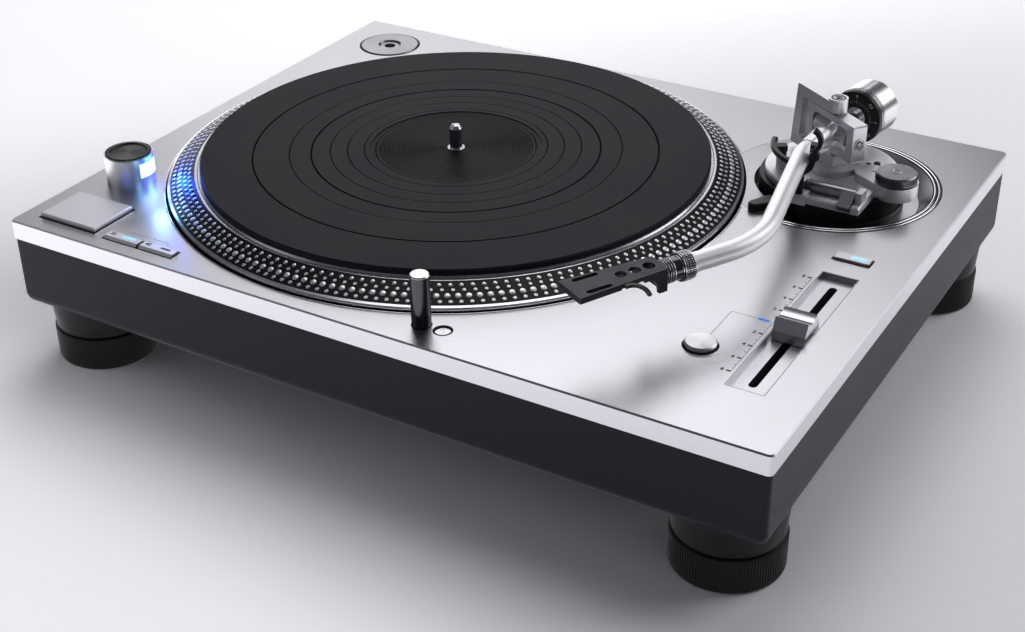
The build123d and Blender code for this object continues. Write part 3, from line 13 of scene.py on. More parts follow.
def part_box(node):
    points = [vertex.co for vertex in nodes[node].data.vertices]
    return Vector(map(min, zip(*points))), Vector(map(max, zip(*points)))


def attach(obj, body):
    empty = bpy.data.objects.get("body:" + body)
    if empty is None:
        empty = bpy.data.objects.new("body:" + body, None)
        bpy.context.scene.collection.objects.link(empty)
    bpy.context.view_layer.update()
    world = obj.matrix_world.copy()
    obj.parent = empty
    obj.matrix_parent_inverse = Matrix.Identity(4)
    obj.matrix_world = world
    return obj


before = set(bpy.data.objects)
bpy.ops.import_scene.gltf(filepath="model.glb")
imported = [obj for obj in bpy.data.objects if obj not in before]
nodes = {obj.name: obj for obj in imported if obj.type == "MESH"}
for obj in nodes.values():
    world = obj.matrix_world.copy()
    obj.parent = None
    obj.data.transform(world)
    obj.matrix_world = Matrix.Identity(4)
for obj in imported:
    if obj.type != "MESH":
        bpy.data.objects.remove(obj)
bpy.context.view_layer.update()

# %% [markdown]
# The fine pieces are set out from a few places on the deck. Each is the middle of a round solid of the
# frame, so that they follow the solid model when it changes.

# %% Places and directions
MM = 0.001
DECK = 88 * MM
ARM_HEIGHT = 120 * MM
ALONG_X = Vector((1, 0, 0))
ALONG_Y = Vector((0, 1, 0))
UP = Vector((0, 0, 1))


def middle(name):
    """The middle of a node, brought down to the floor."""
    low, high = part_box(name)
    return Vector(((low[0] + high[0]) / 2, (low[1] + high[1]) / 2, 0))


def top(name):
    """The height of a node's highest point."""
    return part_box(name)[1][2]


def heading(degrees):
    """A level direction, counted from +X."""
    return Vector((cos(radians(degrees)), sin(radians(degrees)), 0))


PLATTER = middle("platter")
PIVOT = middle("height_ring")
TOWER = middle("strobe_housing")
SKATE = middle("anti_skate_dial")
ADAPTOR = middle("single_adaptor")
RESET = middle("pitch_reset_button")
LIGHT = middle("target_light")
LIGHT_BUTTON = middle("target_light_button")
ARM_CENTRE = PIVOT + UP * ARM_HEIGHT
REAR_TURN = 81.7
REAR = heading(REAR_TURN)
SHELL_WAY = heading(-119.1)
ARM_BEND = PIVOT + (36.1 * heading(-98.3) + 108.2 * heading(-78.6)) * MM
NUT_START = ARM_BEND + SHELL_WAY * 55.8 * MM + UP * ARM_HEIGHT
print("platter axis", tuple(PLATTER), "arm pivot", tuple(PIVOT))

# %% [markdown]
# The camera stands in front, to the right and above, as in the photograph. Its lens and place come from
# the corners of the panel and the ellipse of the platter, so that the same perspective falls on the
# object.

# %% Camera
CAMERA_PLACE = (0.426457, -0.726821, 0.502331)
CAMERA_TURN = 30.945
CAMERA_DOWN = 30.742
CAMERA_ROLL = -0.76
CAMERA_LENS = 57.66
bpy.ops.object.camera_add(location=CAMERA_PLACE)
camera = bpy.context.object
camera.name = "camera"
tilt = Euler((radians(90 - CAMERA_DOWN), 0, radians(CAMERA_TURN))).to_matrix()
camera.rotation_euler = (tilt @ Matrix.Rotation(radians(CAMERA_ROLL), 3, "Z")).to_euler()
camera.data.sensor_width = 36
camera.data.lens = CAMERA_LENS
camera.data.clip_start = 0.01
bpy.context.scene.camera = camera
print("camera lens", camera.data.lens)

# %% [markdown]
# The surround gives weak, even light, so that dark parts stay dark and shadows keep their depth. Camera
# rays see it white. Glossy rays also find a white backdrop low behind on the left, which the far left
# corner of the panel mirrors.

# %% World
BEHIND_LEFT = (-0.62, 0.78, 0)


def fade_along(tree, direction, start, end, low, high):
    """A strength that changes smoothly along a level direction."""
    coords = tree.nodes.new("ShaderNodeTexCoord")
    along = tree.nodes.new("ShaderNodeVectorMath")
    along.operation = "DOT_PRODUCT"
    along.inputs[1].default_value = direction
    tree.links.new(coords.outputs["Object"], along.inputs[0])
    fade = tree.nodes.new("ShaderNodeMapRange")
    fade.interpolation_type = "SMOOTHSTEP"
    fade.inputs["From Min"].default_value = start
    fade.inputs["From Max"].default_value = end
    fade.inputs["To Min"].default_value = low
    fade.inputs["To Max"].default_value = high
    tree.links.new(along.outputs["Value"], fade.inputs["Value"])
    return fade.outputs[0]


scene = bpy.context.scene
scene.view_settings.view_transform = "Standard"
world = bpy.data.worlds.new("studio")
scene.world = world
world.use_nodes = True
tree = world.node_tree
tree.nodes.clear()
seen = tree.nodes.new("ShaderNodeBackground")
seen.inputs["Color"].default_value = (0.96, 0.96, 0.97, 1)
lit = tree.nodes.new("ShaderNodeBackground")
lit.inputs["Color"].default_value = (0.74, 0.74, 0.86, 1)
lit.inputs["Strength"].default_value = 0.10
path = tree.nodes.new("ShaderNodeLightPath")
low_left = fade_along(tree, BEHIND_LEFT, 0.885, 0.935, 0.0, 1.75)
only_glossy = tree.nodes.new("ShaderNodeMath")
only_glossy.operation = "MULTIPLY"
backdrop = tree.nodes.new("ShaderNodeBackground")
both = tree.nodes.new("ShaderNodeAddShader")
choose = tree.nodes.new("ShaderNodeMixShader")
out = tree.nodes.new("ShaderNodeOutputWorld")
tree.links.new(low_left, only_glossy.inputs[0])
tree.links.new(path.outputs["Is Glossy Ray"], only_glossy.inputs[1])
tree.links.new(only_glossy.outputs[0], backdrop.inputs["Strength"])
tree.links.new(lit.outputs[0], both.inputs[0])
tree.links.new(backdrop.outputs[0], both.inputs[1])
tree.links.new(path.outputs["Is Camera Ray"], choose.inputs[0])
tree.links.new(both.outputs[0], choose.inputs[1])
tree.links.new(seen.outputs[0], choose.inputs[2])
tree.links.new(choose.outputs[0], out.inputs[0])
print("world", world.name)

# %% [markdown]
# The floor is nearly white. Camera rays and glossy rays see it brighter than it lights the object: most
# of all at the far left and in front, and for glossy rays on the left too. That keeps the background
# white there, and it gives the front edge of the panel its bright reflection.

# %% Floor
FLOOR_SIZE = 8
FAR_LEFT = (-0.87, 0.5, 0)
IN_FRONT = (-0.15, -1, 0)
LEFT = (-1, 0, 0)
bpy.ops.mesh.primitive_plane_add(size=FLOOR_SIZE, location=(0, 0, 0))
floor = bpy.context.object
floor.name = "floor"
floor_paint = bpy.data.materials.new("floor_paint")
floor_paint.use_nodes = True
tree = floor_paint.node_tree
tree.nodes.clear()
plain = tree.nodes.new("ShaderNodeBsdfDiffuse")
plain.inputs["Color"].default_value = (0.80, 0.80, 0.83, 1)
bright = tree.nodes.new("ShaderNodeBsdfDiffuse")
bright.inputs["Color"].default_value = (1.52, 1.52, 1.56, 1)
glow = tree.nodes.new("ShaderNodeEmission")
glow.inputs["Color"].default_value = (0.99, 0.99, 1.0, 1)
path = tree.nodes.new("ShaderNodeLightPath")
far_left = fade_along(tree, FAR_LEFT, 0.10, 0.50, 0.0, 0.33)
in_front = fade_along(tree, IN_FRONT, 0.16, 0.30, 0.0, 0.36)
pale = tree.nodes.new("ShaderNodeMath")
tree.links.new(far_left, pale.inputs[0])
tree.links.new(in_front, pale.inputs[1])
mirrored = tree.nodes.new("ShaderNodeMath")
mirrored.operation = "MULTIPLY_ADD"
tree.links.new(path.outputs["Is Glossy Ray"], mirrored.inputs[0])
tree.links.new(fade_along(tree, LEFT, -0.3, 0.5, 0.35, 0.85), mirrored.inputs[1])
tree.links.new(pale.outputs[0], mirrored.inputs[2])
tree.links.new(mirrored.outputs[0], glow.inputs["Strength"])
seen_floor = tree.nodes.new("ShaderNodeMath")
seen_floor.operation = "MAXIMUM"
both = tree.nodes.new("ShaderNodeAddShader")
choose = tree.nodes.new("ShaderNodeMixShader")
out = tree.nodes.new("ShaderNodeOutputMaterial")
tree.links.new(path.outputs["Is Camera Ray"], seen_floor.inputs[0])
tree.links.new(path.outputs["Is Glossy Ray"], seen_floor.inputs[1])
tree.links.new(bright.outputs[0], both.inputs[0])
tree.links.new(glow.outputs[0], both.inputs[1])
tree.links.new(seen_floor.outputs[0], choose.inputs[0])
tree.links.new(plain.outputs[0], choose.inputs[1])
tree.links.new(both.outputs[0], choose.inputs[2])
tree.links.new(choose.outputs[0], out.inputs[0])
floor.data.materials.append(floor_paint)
print("floor", floor.name)

# %% [markdown]
# One tall lamp hangs behind the object and reaches over it, a little to the left. Satin metal mirrors it
# softly: the near corner of the panel lies in its reflection, and the light falls off from there to the
# left front. A lamp behind on the right rims the side wall, and a weak one to the left front keeps the
# skirt readable.

# %% Lamps


def soft_lamp(name, place, target, width, height, power):
    """A rectangular area lamp that faces a target."""
    bpy.ops.object.light_add(type="AREA", location=place)
    lamp = bpy.context.object
    lamp.name = name
    lamp.data.shape = "RECTANGLE"
    lamp.data.size = width
    lamp.data.size_y = height
    lamp.data.energy = power
    lamp.rotation_euler = (Vector(target) - Vector(place)).to_track_quat("-Z", "Y").to_euler()
    return lamp


soft_lamp("lamp_back", (-0.54, 1.10, 1.76), (0, 0, 0.09), 1.40, 2.0, 14.4)
soft_lamp("lamp_right", (1.10, 1.10, 0.98), (0.1, 0, 0.1), 1.15, 1.15, 7.5)
soft_lamp("lamp_left", (-1.3, -1.0, 0.9), (0, 0, 0.1), 0.9, 0.9, 0.9)

# %% [markdown]
# A material is a net of nodes. These helpers keep its lines short: they make a node group, a math node
# and a noise, and place a group in a material with its own numbers.

# %% Helpers for nodes


def new_group(name, inputs, outputs):
    """A shader node group with float inputs, given with their defaults, and named outputs."""
    group = bpy.data.node_groups.new(name, "ShaderNodeTree")
    for label, value in inputs.items():
        socket = group.interface.new_socket(label, in_out="INPUT", socket_type="NodeSocketFloat")
        socket.default_value = value
    for label in outputs:
        group.interface.new_socket(label, in_out="OUTPUT", socket_type="NodeSocketFloat")
    return group, group.nodes.new("NodeGroupInput"), group.nodes.new("NodeGroupOutput")


def math_node(tree, operation, first, second=None):
    """A math node fed by sockets or plain numbers; returns its result."""
    node = tree.nodes.new("ShaderNodeMath")
    node.operation = operation
    for number, value in enumerate((first, second)):
        if value is None:
            continue
        if isinstance(value, (int, float)):
            node.inputs[number].default_value = value
        else:
            tree.links.new(value, node.inputs[number])
    return node.outputs[0]


def noise_node(tree, scale, detail):
    """Noise on Object coordinates; returns its value."""
    coords = tree.nodes.new("ShaderNodeTexCoord")
    noise = tree.nodes.new("ShaderNodeTexNoise")
    noise.inputs["Detail"].default_value = detail
    tree.links.new(coords.outputs["Object"], noise.inputs["Vector"])
    tree.links.new(scale, noise.inputs["Scale"])
    return noise.outputs[0]


def place_group(tree, group, **values):
    """A group node in a material, with its own values."""
    node = tree.nodes.new("ShaderNodeGroup")
    node.node_tree = group
    for label, value in values.items():
        node.inputs[label].default_value = value
    return node


print("node helpers ready")

# %% [markdown]
# Finishes are made from a few shared effects. Each is a node group that puts out a mask or a height and
# is placed in any material that needs it, with its own numbers: a soft change of tone, fine grain for
# blasted metal, rings for spun metal, the distance from an upright axis, and the edges where handling has
# worn a piece bright, lightened further as a painted highlight along each edge.

# %% Effects
grain, grain_in, grain_out = new_group("blasted_grain", {"Scale": 900, "Amount": 1}, ["Height"])
speckle = noise_node(grain, grain_in.outputs["Scale"], 3)
grain.links.new(math_node(grain, "MULTIPLY", speckle, grain_in.outputs["Amount"]), grain_out.inputs[0])

patina, patina_in, patina_out = new_group("soft_tone", {"Scale": 40}, ["Tone"])
cloud = noise_node(patina, patina_in.outputs["Scale"], 4)
stretched = math_node(patina, "MULTIPLY", math_node(patina, "SUBTRACT", cloud, 0.3), 2.5)
limited = math_node(patina, "MINIMUM", math_node(patina, "MAXIMUM", stretched, 0.0), 1.0)
patina.links.new(limited, patina_out.inputs[0])

# Edges lighter than the face: worn bare, and also a painted highlight along each edge.
wear_and_edge_highlight, worn_in, worn_out = new_group("worn_and_highlit_edges", {"Width": 0.0003, "Strength": 1}, ["Mask"])
rounded = wear_and_edge_highlight.nodes.new("ShaderNodeBevel")
rounded.samples = 4
wear_and_edge_highlight.links.new(worn_in.outputs["Width"], rounded.inputs["Radius"])
shape = wear_and_edge_highlight.nodes.new("ShaderNodeNewGeometry")
compare = wear_and_edge_highlight.nodes.new("ShaderNodeVectorMath")
compare.operation = "DOT_PRODUCT"
wear_and_edge_highlight.links.new(rounded.outputs[0], compare.inputs[0])
wear_and_edge_highlight.links.new(shape.outputs["Normal"], compare.inputs[1])
turned = math_node(wear_and_edge_highlight, "MULTIPLY", math_node(wear_and_edge_highlight, "SUBTRACT", 1.0, compare.outputs["Value"]), 4.0)
edge_mask = math_node(wear_and_edge_highlight, "MULTIPLY", turned, worn_in.outputs["Strength"])
wear_and_edge_highlight.links.new(
    math_node(wear_and_edge_highlight, "MINIMUM", math_node(wear_and_edge_highlight, "MAXIMUM", edge_mask, 0.0), 1.0), worn_out.inputs[0]
)

radius_group, radius_in, radius_out = new_group("radius_from", {"X": 0, "Y": 0}, ["Radius", "Height"])
coords = radius_group.nodes.new("ShaderNodeTexCoord")
split = radius_group.nodes.new("ShaderNodeSeparateXYZ")
radius_group.links.new(coords.outputs["Object"], split.inputs[0])
off_x = math_node(radius_group, "SUBTRACT", split.outputs[0], radius_in.outputs["X"])
off_y = math_node(radius_group, "SUBTRACT", split.outputs[1], radius_in.outputs["Y"])
across = math_node(radius_group, "MULTIPLY", off_x, off_x)
along = math_node(radius_group, "MULTIPLY", off_y, off_y)
distance = math_node(radius_group, "SQRT", math_node(radius_group, "ADD", across, along))
radius_group.links.new(distance, radius_out.inputs["Radius"])
radius_group.links.new(split.outputs[2], radius_out.inputs["Height"])

rings, rings_in, rings_out = new_group(
    "spun_rings", {"Radius": 0, "Pitch": 0.0006, "Amount": 1}, ["Height"]
)
turns = math_node(rings, "DIVIDE", rings_in.outputs["Radius"], rings_in.outputs["Pitch"])
wave = math_node(rings, "SINE", math_node(rings, "MULTIPLY", turns, 2 * pi))
rings.links.new(math_node(rings, "MULTIPLY", wave, rings_in.outputs["Amount"]), rings_out.inputs[0])
print("effects", [g.name for g in bpy.data.node_groups])

# %% [markdown]
# A finish is one Principled shader. Its constant parts are written on its own sockets. The soft tone
# changes the colour a little over the surface and the roughness with it, edges show a lighter colour,
# partly wear and partly a painted highlight, and grain feeds the bump. This helper makes each plain
# finish of the object in one call.

# %% Finishes
COLOUR_A = 6
COLOUR_B = 7
MIXED_COLOUR = 2
WORN_AND_HIGHLIT_METAL = 0.75


def mixed(tree, factor, first, second):
    """A blend of two colours, each a socket or three numbers; returns its result."""
    node = tree.nodes.new("ShaderNodeMix")
    node.data_type = "RGBA"
    for number, value in ((COLOUR_A, first), (COLOUR_B, second)):
        if isinstance(value, tuple):
            node.inputs[number].default_value = (*value, 1)
        else:
            tree.links.new(value, node.inputs[number])
    tree.links.new(factor, node.inputs[0])
    return node.outputs[MIXED_COLOUR]


def finish(
    name, colour, metal=0.0, rough=0.5, shine=0.5, tone=0.06, vary=0.3, scale=60, edge=0.0,
    grain_size=0, grain_depth=0.0,
):
    """A material with a soft change of tone, with edges lightened by wear and a painted highlight, and with
    fine grain where asked for.
    """
    material = bpy.data.materials.new(name)
    material.use_nodes = True
    tree = material.node_tree
    shader = tree.nodes["Principled BSDF"]
    shader.inputs["Metallic"].default_value = metal
    shader.inputs["Specular IOR Level"].default_value = shine
    cloud = place_group(tree, patina, Scale=scale).outputs[0]
    darker = tuple(value * (1 - tone) for value in colour)
    lighter = tuple(min(1.0, value * (1 + tone)) for value in colour)
    paint = mixed(tree, cloud, darker, lighter)
    if edge:
        # Edges go towards bare metal: wear, with a painted highlight on top.
        worn_and_highlit = tuple(value + (WORN_AND_HIGHLIT_METAL - value) * 0.55 for value in colour)
        mask = place_group(tree, wear_and_edge_highlight, Strength=edge, Width=0.0004).outputs[0]
        paint = mixed(tree, mask, paint, worn_and_highlit)
    tree.links.new(paint, shader.inputs["Base Color"])
    dull = math_node(tree, "MULTIPLY", cloud, rough * vary)
    tree.links.new(math_node(tree, "ADD", dull, rough * (1 - vary / 2)), shader.inputs["Roughness"])
    if grain_size:
        add_bump(material, place_group(tree, grain, Scale=grain_size).outputs[0], grain_depth)
    return material


def add_bump(material, height, distance):
    """Feeds a height into the normal of a material's shader."""
    tree = material.node_tree
    bump = tree.nodes.new("ShaderNodeBump")
    bump.inputs["Distance"].default_value = distance
    tree.links.new(height, bump.inputs["Height"])
    tree.links.new(bump.outputs[0], tree.nodes["Principled BSDF"].inputs["Normal"])


print("finish helper ready")

# %% [markdown]
# These are the finishes. Bare metal has a metallic value of 1 and a pale colour, and its roughness tells
# satin from polished. Paint, plastic and rubber are dark, with little shine. Blasted metal has grain.

# %% Metals, plastics and prints
blasted = {"grain_size": 1800, "grain_depth": 0.00004}
panel_silver = finish(
    "panel_silver", (0.60, 0.60, 0.640), metal=1.0, rough=0.30, tone=0.02, vary=0.05, scale=9, edge=0.6,
    grain_size=1000, grain_depth=0.00009,
)
# The foot bosses are black, and painted darker still with the shade they stand in.
boss_black_and_shade = finish("boss_black_and_shade", (0.007, 0.007, 0.009), shine=0.2, **blasted)
case_charcoal = finish(
    "case_charcoal", (0.033, 0.030, 0.044), shine=0.16, tone=0.04, vary=0.06, edge=0.10,
    **blasted,
)
slider_satin = finish(
    "slider_satin", (0.82, 0.82, 0.85), metal=1.0, rough=0.34, tone=0.02, vary=0.05, edge=0.5
)
arm_satin = finish(
    "arm_satin", (0.82, 0.82, 0.85), metal=1.0, rough=0.40, tone=0.03, vary=0.08, edge=0.4,
    grain_size=2500, grain_depth=0.00002,
)
tube_satin = finish(
    "tube_satin", (0.93, 0.93, 0.95), metal=1.0, rough=0.48, tone=0.02, vary=0.06, scale=40, edge=0.2,
    grain_size=2500, grain_depth=0.00001,
)
button_satin = finish(
    "button_satin", (0.76, 0.76, 0.80), metal=1.0, rough=0.48, tone=0.02, vary=0.06, scale=50, edge=0.8,
    grain_size=2500, grain_depth=0.00002,
)
lever_grey = finish("lever_grey", (0.34, 0.34, 0.36), metal=1.0, rough=0.30, vary=0.1, edge=0.4)
bright_steel = finish(
    "bright_steel", (0.70, 0.70, 0.72), metal=1.0, rough=0.22, vary=0.15, scale=150, edge=0.3
)
polished = finish("polished", (0.86, 0.86, 0.88), metal=1.0, rough=0.16, vary=0.2, scale=120)
dot_metal = finish("dot_metal", (0.92, 0.92, 0.94), metal=0.9, rough=0.38, vary=0.2, scale=200)
weight_satin = finish(
    "weight_satin", (0.76, 0.76, 0.78), metal=1.0, rough=0.24, tone=0.03, vary=0.08, edge=0.4
)
nut_chrome = finish("nut_chrome", (0.13, 0.13, 0.15), metal=1.0, rough=0.16, scale=150, edge=0.4)
black_anodised = finish(
    "black_anodised", (0.012, 0.012, 0.014), metal=0.4, rough=0.34, scale=150, edge=0.10
)
black_plastic = finish(
    "black_plastic", (0.012, 0.012, 0.014), rough=0.36, shine=0.4, scale=100, edge=0.06,
    grain_size=2200, grain_depth=0.00001,
)
# The feet are black rubber, and painted darker still with the shade they stand in.
foot_black_and_shade = finish(
    "foot_black_and_shade", (0.004, 0.004, 0.005), rough=0.42, shine=0.16, scale=80, grain_size=1600,
    grain_depth=0.00002,
)
shell_charcoal = finish(
    "shell_charcoal", (0.034, 0.031, 0.043), metal=0.2, rough=0.45, shine=0.3, scale=120, edge=1.0,
    grain_size=2500, grain_depth=0.00003,
)
brass = finish("brass", (0.62, 0.44, 0.18), metal=1.0, rough=0.3, edge=0.3)
copper = finish("copper", (0.60, 0.25, 0.12), metal=1.0, rough=0.35, scale=300, tone=0.2)
board_green = finish("board_green", (0.02, 0.13, 0.05), rough=0.45, scale=200, tone=0.2)
supply_grey = finish("supply_grey", (0.30, 0.31, 0.33), metal=0.6, rough=0.45, edge=0.4, **blasted)
magnet_grey = finish("magnet_grey", (0.06, 0.06, 0.065), rough=0.6, tone=0.15, **blasted)
white_print = finish("white_print", (0.62, 0.62, 0.65), rough=0.55, scale=400)
# Dark print serves printed marks, and also painted shade in gaps, seams and slots.
dark_print_and_shade = finish("dark_print_and_shade", (0.006, 0.006, 0.009), rough=0.6, shine=0.15, scale=400)
print("finishes", len(bpy.data.materials))

# %% [markdown]
# Lit parts are plastic with a glow: the window of the strobe lamp and the small light bars of the
# buttons. The colour of the glow is what the photograph shows, blue-white in the window and blue in the
# bars.

# %% Lit parts


def lit_finish(name, colour, glow, strength):
    """Plastic that shines, a little brighter in some places than in others."""
    material = finish(name, colour, rough=0.25, scale=250)
    tree = material.node_tree
    shader = tree.nodes["Principled BSDF"]
    cloud = place_group(tree, patina, Scale=220).outputs[0]
    dim = tuple(value * 0.8 for value in glow)
    tree.links.new(mixed(tree, cloud, dim, glow), shader.inputs["Emission Color"])
    shader.inputs["Emission Strength"].default_value = strength
    return material


strobe_glow = lit_finish("strobe_glow", (0.6, 0.75, 1.0), (0.55, 0.75, 1.0), 1.7)
bar_glow = lit_finish("bar_glow", (0.2, 0.5, 1.0), (0.22, 0.55, 1.0), 1.3)
blue_print = lit_finish("blue_print", (0.05, 0.25, 0.85), (0.03, 0.16, 0.75), 0.6)
bar_dark = finish("bar_dark", (0.035, 0.037, 0.050), rough=0.3, scale=250)


def tower_light(name, turn, reach, rise, power, colour):
    """A tiny lamp beside the strobe tower: turned from +X, out from its middle and over the deck."""
    place = TOWER + heading(turn) * reach * MM + UP * (DECK + rise * MM)
    bpy.ops.object.light_add(type="POINT", location=place)
    lamp = bpy.context.object
    lamp.name = name
    lamp.data.energy = power
    lamp.data.color = colour
    lamp.data.shadow_soft_size = 4 * MM


tower_light("strobe_light", 24, 24, 12, 0.05, (0.01, 0.09, 1.0))
tower_light("pool_light", -22, 33, 14, 0.0045, (0.25, 0.62, 1.0))
print("lit parts", strobe_glow.name, bar_glow.name)

# %% [markdown]
# The platter is one casting with two finishes: polished metal on the lip and the inner ring, and black
# paint on the sloping band between them that carries the strobe dots. Masks by distance from the axis and
# by height tell them apart. The inner ring has a turned groove, painted darker as painted shade in it,
# and the rim below the lip, down in the well, is painted black as painted shade.

# %% Platter finish
BAND_INNER = 150.3 * MM
BAND_OUTER = 164.5 * MM
RING_GROOVE = 148.5 * MM
GROOVE_HALF_WIDTH = 0.25 * MM
RIM_LEVEL = 88.4 * MM
# The rim down in the well is painted black: painted shade.
RIM_PAINTED_SHADE = (0.007, 0.007, 0.010)
METAL_ROUGH = 0.24


def from_axis(material, centre):
    """Distance from an upright axis, and height, in a material."""
    return place_group(material.node_tree, radius_group, X=centre.x, Y=centre.y)


def within(tree, value, low, high):
    """A mask that is 1 where a value lies between two numbers."""
    above = math_node(tree, "GREATER_THAN", value, low)
    below = math_node(tree, "LESS_THAN", value, high)
    return math_node(tree, "MULTIPLY", above, below)


platter_metal = finish(
    "platter_metal", (0.78, 0.78, 0.82), metal=1.0, rough=METAL_ROUGH, shine=0.28, vary=0.1
)
tree = platter_metal.node_tree
place = from_axis(platter_metal, PLATTER)
band = within(tree, place.outputs["Radius"], BAND_INNER, BAND_OUTER)
# Below the rim level the platter sits in the well: painted shade there.
low = math_node(tree, "LESS_THAN", place.outputs["Height"], RIM_LEVEL)
mask = math_node(tree, "MAXIMUM", band, low)
# The turned groove is painted darker: painted shade in the groove.
groove_inner = RING_GROOVE - GROOVE_HALF_WIDTH
groove_outer = RING_GROOVE + GROOVE_HALF_WIDTH
groove = within(tree, place.outputs["Radius"], groove_inner, groove_outer)
shader = tree.nodes["Principled BSDF"]
metal_paint = shader.inputs["Base Color"].links[0].from_socket
ring_with_groove_shade = mixed(tree, groove, metal_paint, (0.10, 0.10, 0.12))
tree.links.new(mixed(tree, mask, ring_with_groove_shade, RIM_PAINTED_SHADE), shader.inputs["Base Color"])
tree.links.new(math_node(tree, "SUBTRACT", 1.0, mask), shader.inputs["Metallic"])
rougher = math_node(tree, "MULTIPLY", mask, 0.12)
tree.links.new(math_node(tree, "ADD", METAL_ROUGH, rougher), shader.inputs["Roughness"])
print("platter band from", BAND_INNER, "to", BAND_OUTER)

# %% [markdown]
# The rubber mat has a few narrow rings far apart and a field of close fine rings towards the middle. Both
# follow the distance from the axis. The rings are a height that feeds the bump, and they are also darker
# than the rubber, as the shade in a narrow groove makes them.

# %% Mat finish
MAT_RINGS = (117.0, 96.0, 83.6, 72.6, 62.7, 53.0, 46.5)
RING_HALF_WIDTH = 0.0006
FINE_FIELD = 45 * MM
FINE_PITCH = 0.0028
mat_rubber = finish(
    "mat_rubber", (0.017, 0.0150, 0.0235), rough=0.60, shine=0.16, tone=0.05, vary=0.06, scale=25
)
tree = mat_rubber.node_tree
place = from_axis(mat_rubber, PLATTER)
height = None
for radius in MAT_RINGS:
    away = math_node(tree, "ABSOLUTE", math_node(tree, "SUBTRACT", place.outputs["Radius"], radius * MM))
    near = math_node(tree, "SUBTRACT", 1.0, math_node(tree, "DIVIDE", away, RING_HALF_WIDTH))
    groove = math_node(tree, "MAXIMUM", near, 0.0)
    height = groove if height is None else math_node(tree, "ADD", height, groove)
fine_turn = 2 * pi / FINE_PITCH
turns = math_node(tree, "SINE", math_node(tree, "MULTIPLY", place.outputs["Radius"], fine_turn))
field = math_node(tree, "LESS_THAN", place.outputs["Radius"], FINE_FIELD)
sharp = math_node(tree, "POWER", math_node(tree, "ABSOLUTE", turns), 4.0)
height = math_node(tree, "ADD", height, math_node(tree, "MULTIPLY", sharp, field))
shader = tree.nodes["Principled BSDF"]
rubber = shader.inputs["Base Color"].links[0].from_socket
shade = math_node(tree, "MINIMUM", math_node(tree, "MULTIPLY", height, 1.4), 0.9)
tree.links.new(mixed(tree, shade, rubber, (0.001, 0.001, 0.001)), shader.inputs["Base Color"])
speckle = math_node(tree, "MULTIPLY", place_group(tree, grain, Scale=2400).outputs[0], 0.03)
add_bump(mat_rubber, math_node(tree, "SUBTRACT", speckle, height), 0.0010)
print("mat rings", len(MAT_RINGS))

# %% [markdown]
# The adaptor, the round buttons, the knob, the dial, the target light and the arm's well are turned on a
# lathe. Fine rings about the axis of each spread a highlight into a bow tie. The target light has a
# bright cap on a post painted dark, a painted reflection of the shaded floor in front.

# %% Spun pieces
RING_DEPTH = 0.000008


def spun(name, colour, centre, rough, pitch=0.0008):
    """Metal turned on a lathe about an upright axis: its fine rings spread a highlight into a bow tie."""
    material = finish(name, colour, metal=1.0, rough=rough, tone=0.02, vary=0.05)
    tree = material.node_tree
    shader = tree.nodes["Principled BSDF"]
    shader.inputs["Anisotropic"].default_value = 0.9
    around = tree.nodes.new("ShaderNodeTangent")
    around.direction_type = "RADIAL"
    around.axis = "Z"
    tree.links.new(around.outputs[0], shader.inputs["Tangent"])
    radius = from_axis(material, centre).outputs["Radius"]
    effect = place_group(tree, rings, Pitch=pitch)
    tree.links.new(radius, effect.inputs["Radius"])
    add_bump(material, effect.outputs[0], RING_DEPTH)
    return material


adaptor_spun = spun("adaptor_spun", (0.40, 0.41, 0.44), ADAPTOR, rough=0.24)
reset_spun = spun("reset_spun", (0.86, 0.86, 0.88), RESET, rough=0.30, pitch=0.0005)
light_spun = spun("light_spun", (0.80, 0.80, 0.82), LIGHT, rough=0.20, pitch=0.0004)
tree = light_spun.node_tree
# Below the cap the post is painted dark: a painted reflection of the shaded floor in front.
height = from_axis(light_spun, LIGHT).outputs["Height"]
below = math_node(tree, "LESS_THAN", height, top("target_light") - 0.7 * MM)
shader = tree.nodes["Principled BSDF"]
cap_paint = shader.inputs["Base Color"].links[0].from_socket
tree.links.new(mixed(tree, below, cap_paint, (0.07, 0.07, 0.08)), shader.inputs["Base Color"])
light_button_spun = spun("light_button_spun", (0.68, 0.68, 0.70), LIGHT_BUTTON, rough=0.22, pitch=0.0004)
knob_spun = spun("knob_spun", (0.050, 0.050, 0.056), TOWER, rough=0.32, pitch=0.0006)
skate_spun = spun("skate_spun", (0.27, 0.27, 0.28), SKATE, rough=0.20, pitch=0.0005)
well_spun = spun("well_spun", (0.50, 0.50, 0.53), PIVOT, rough=0.30, pitch=0.0009)
print("spun finishes", len([m for m in bpy.data.materials if "spun" in m.name]))

# %% [markdown]
# Now each solid gets its finish. A table from finish to nodes keeps this readable, and the last line
# checks that no node was forgotten.

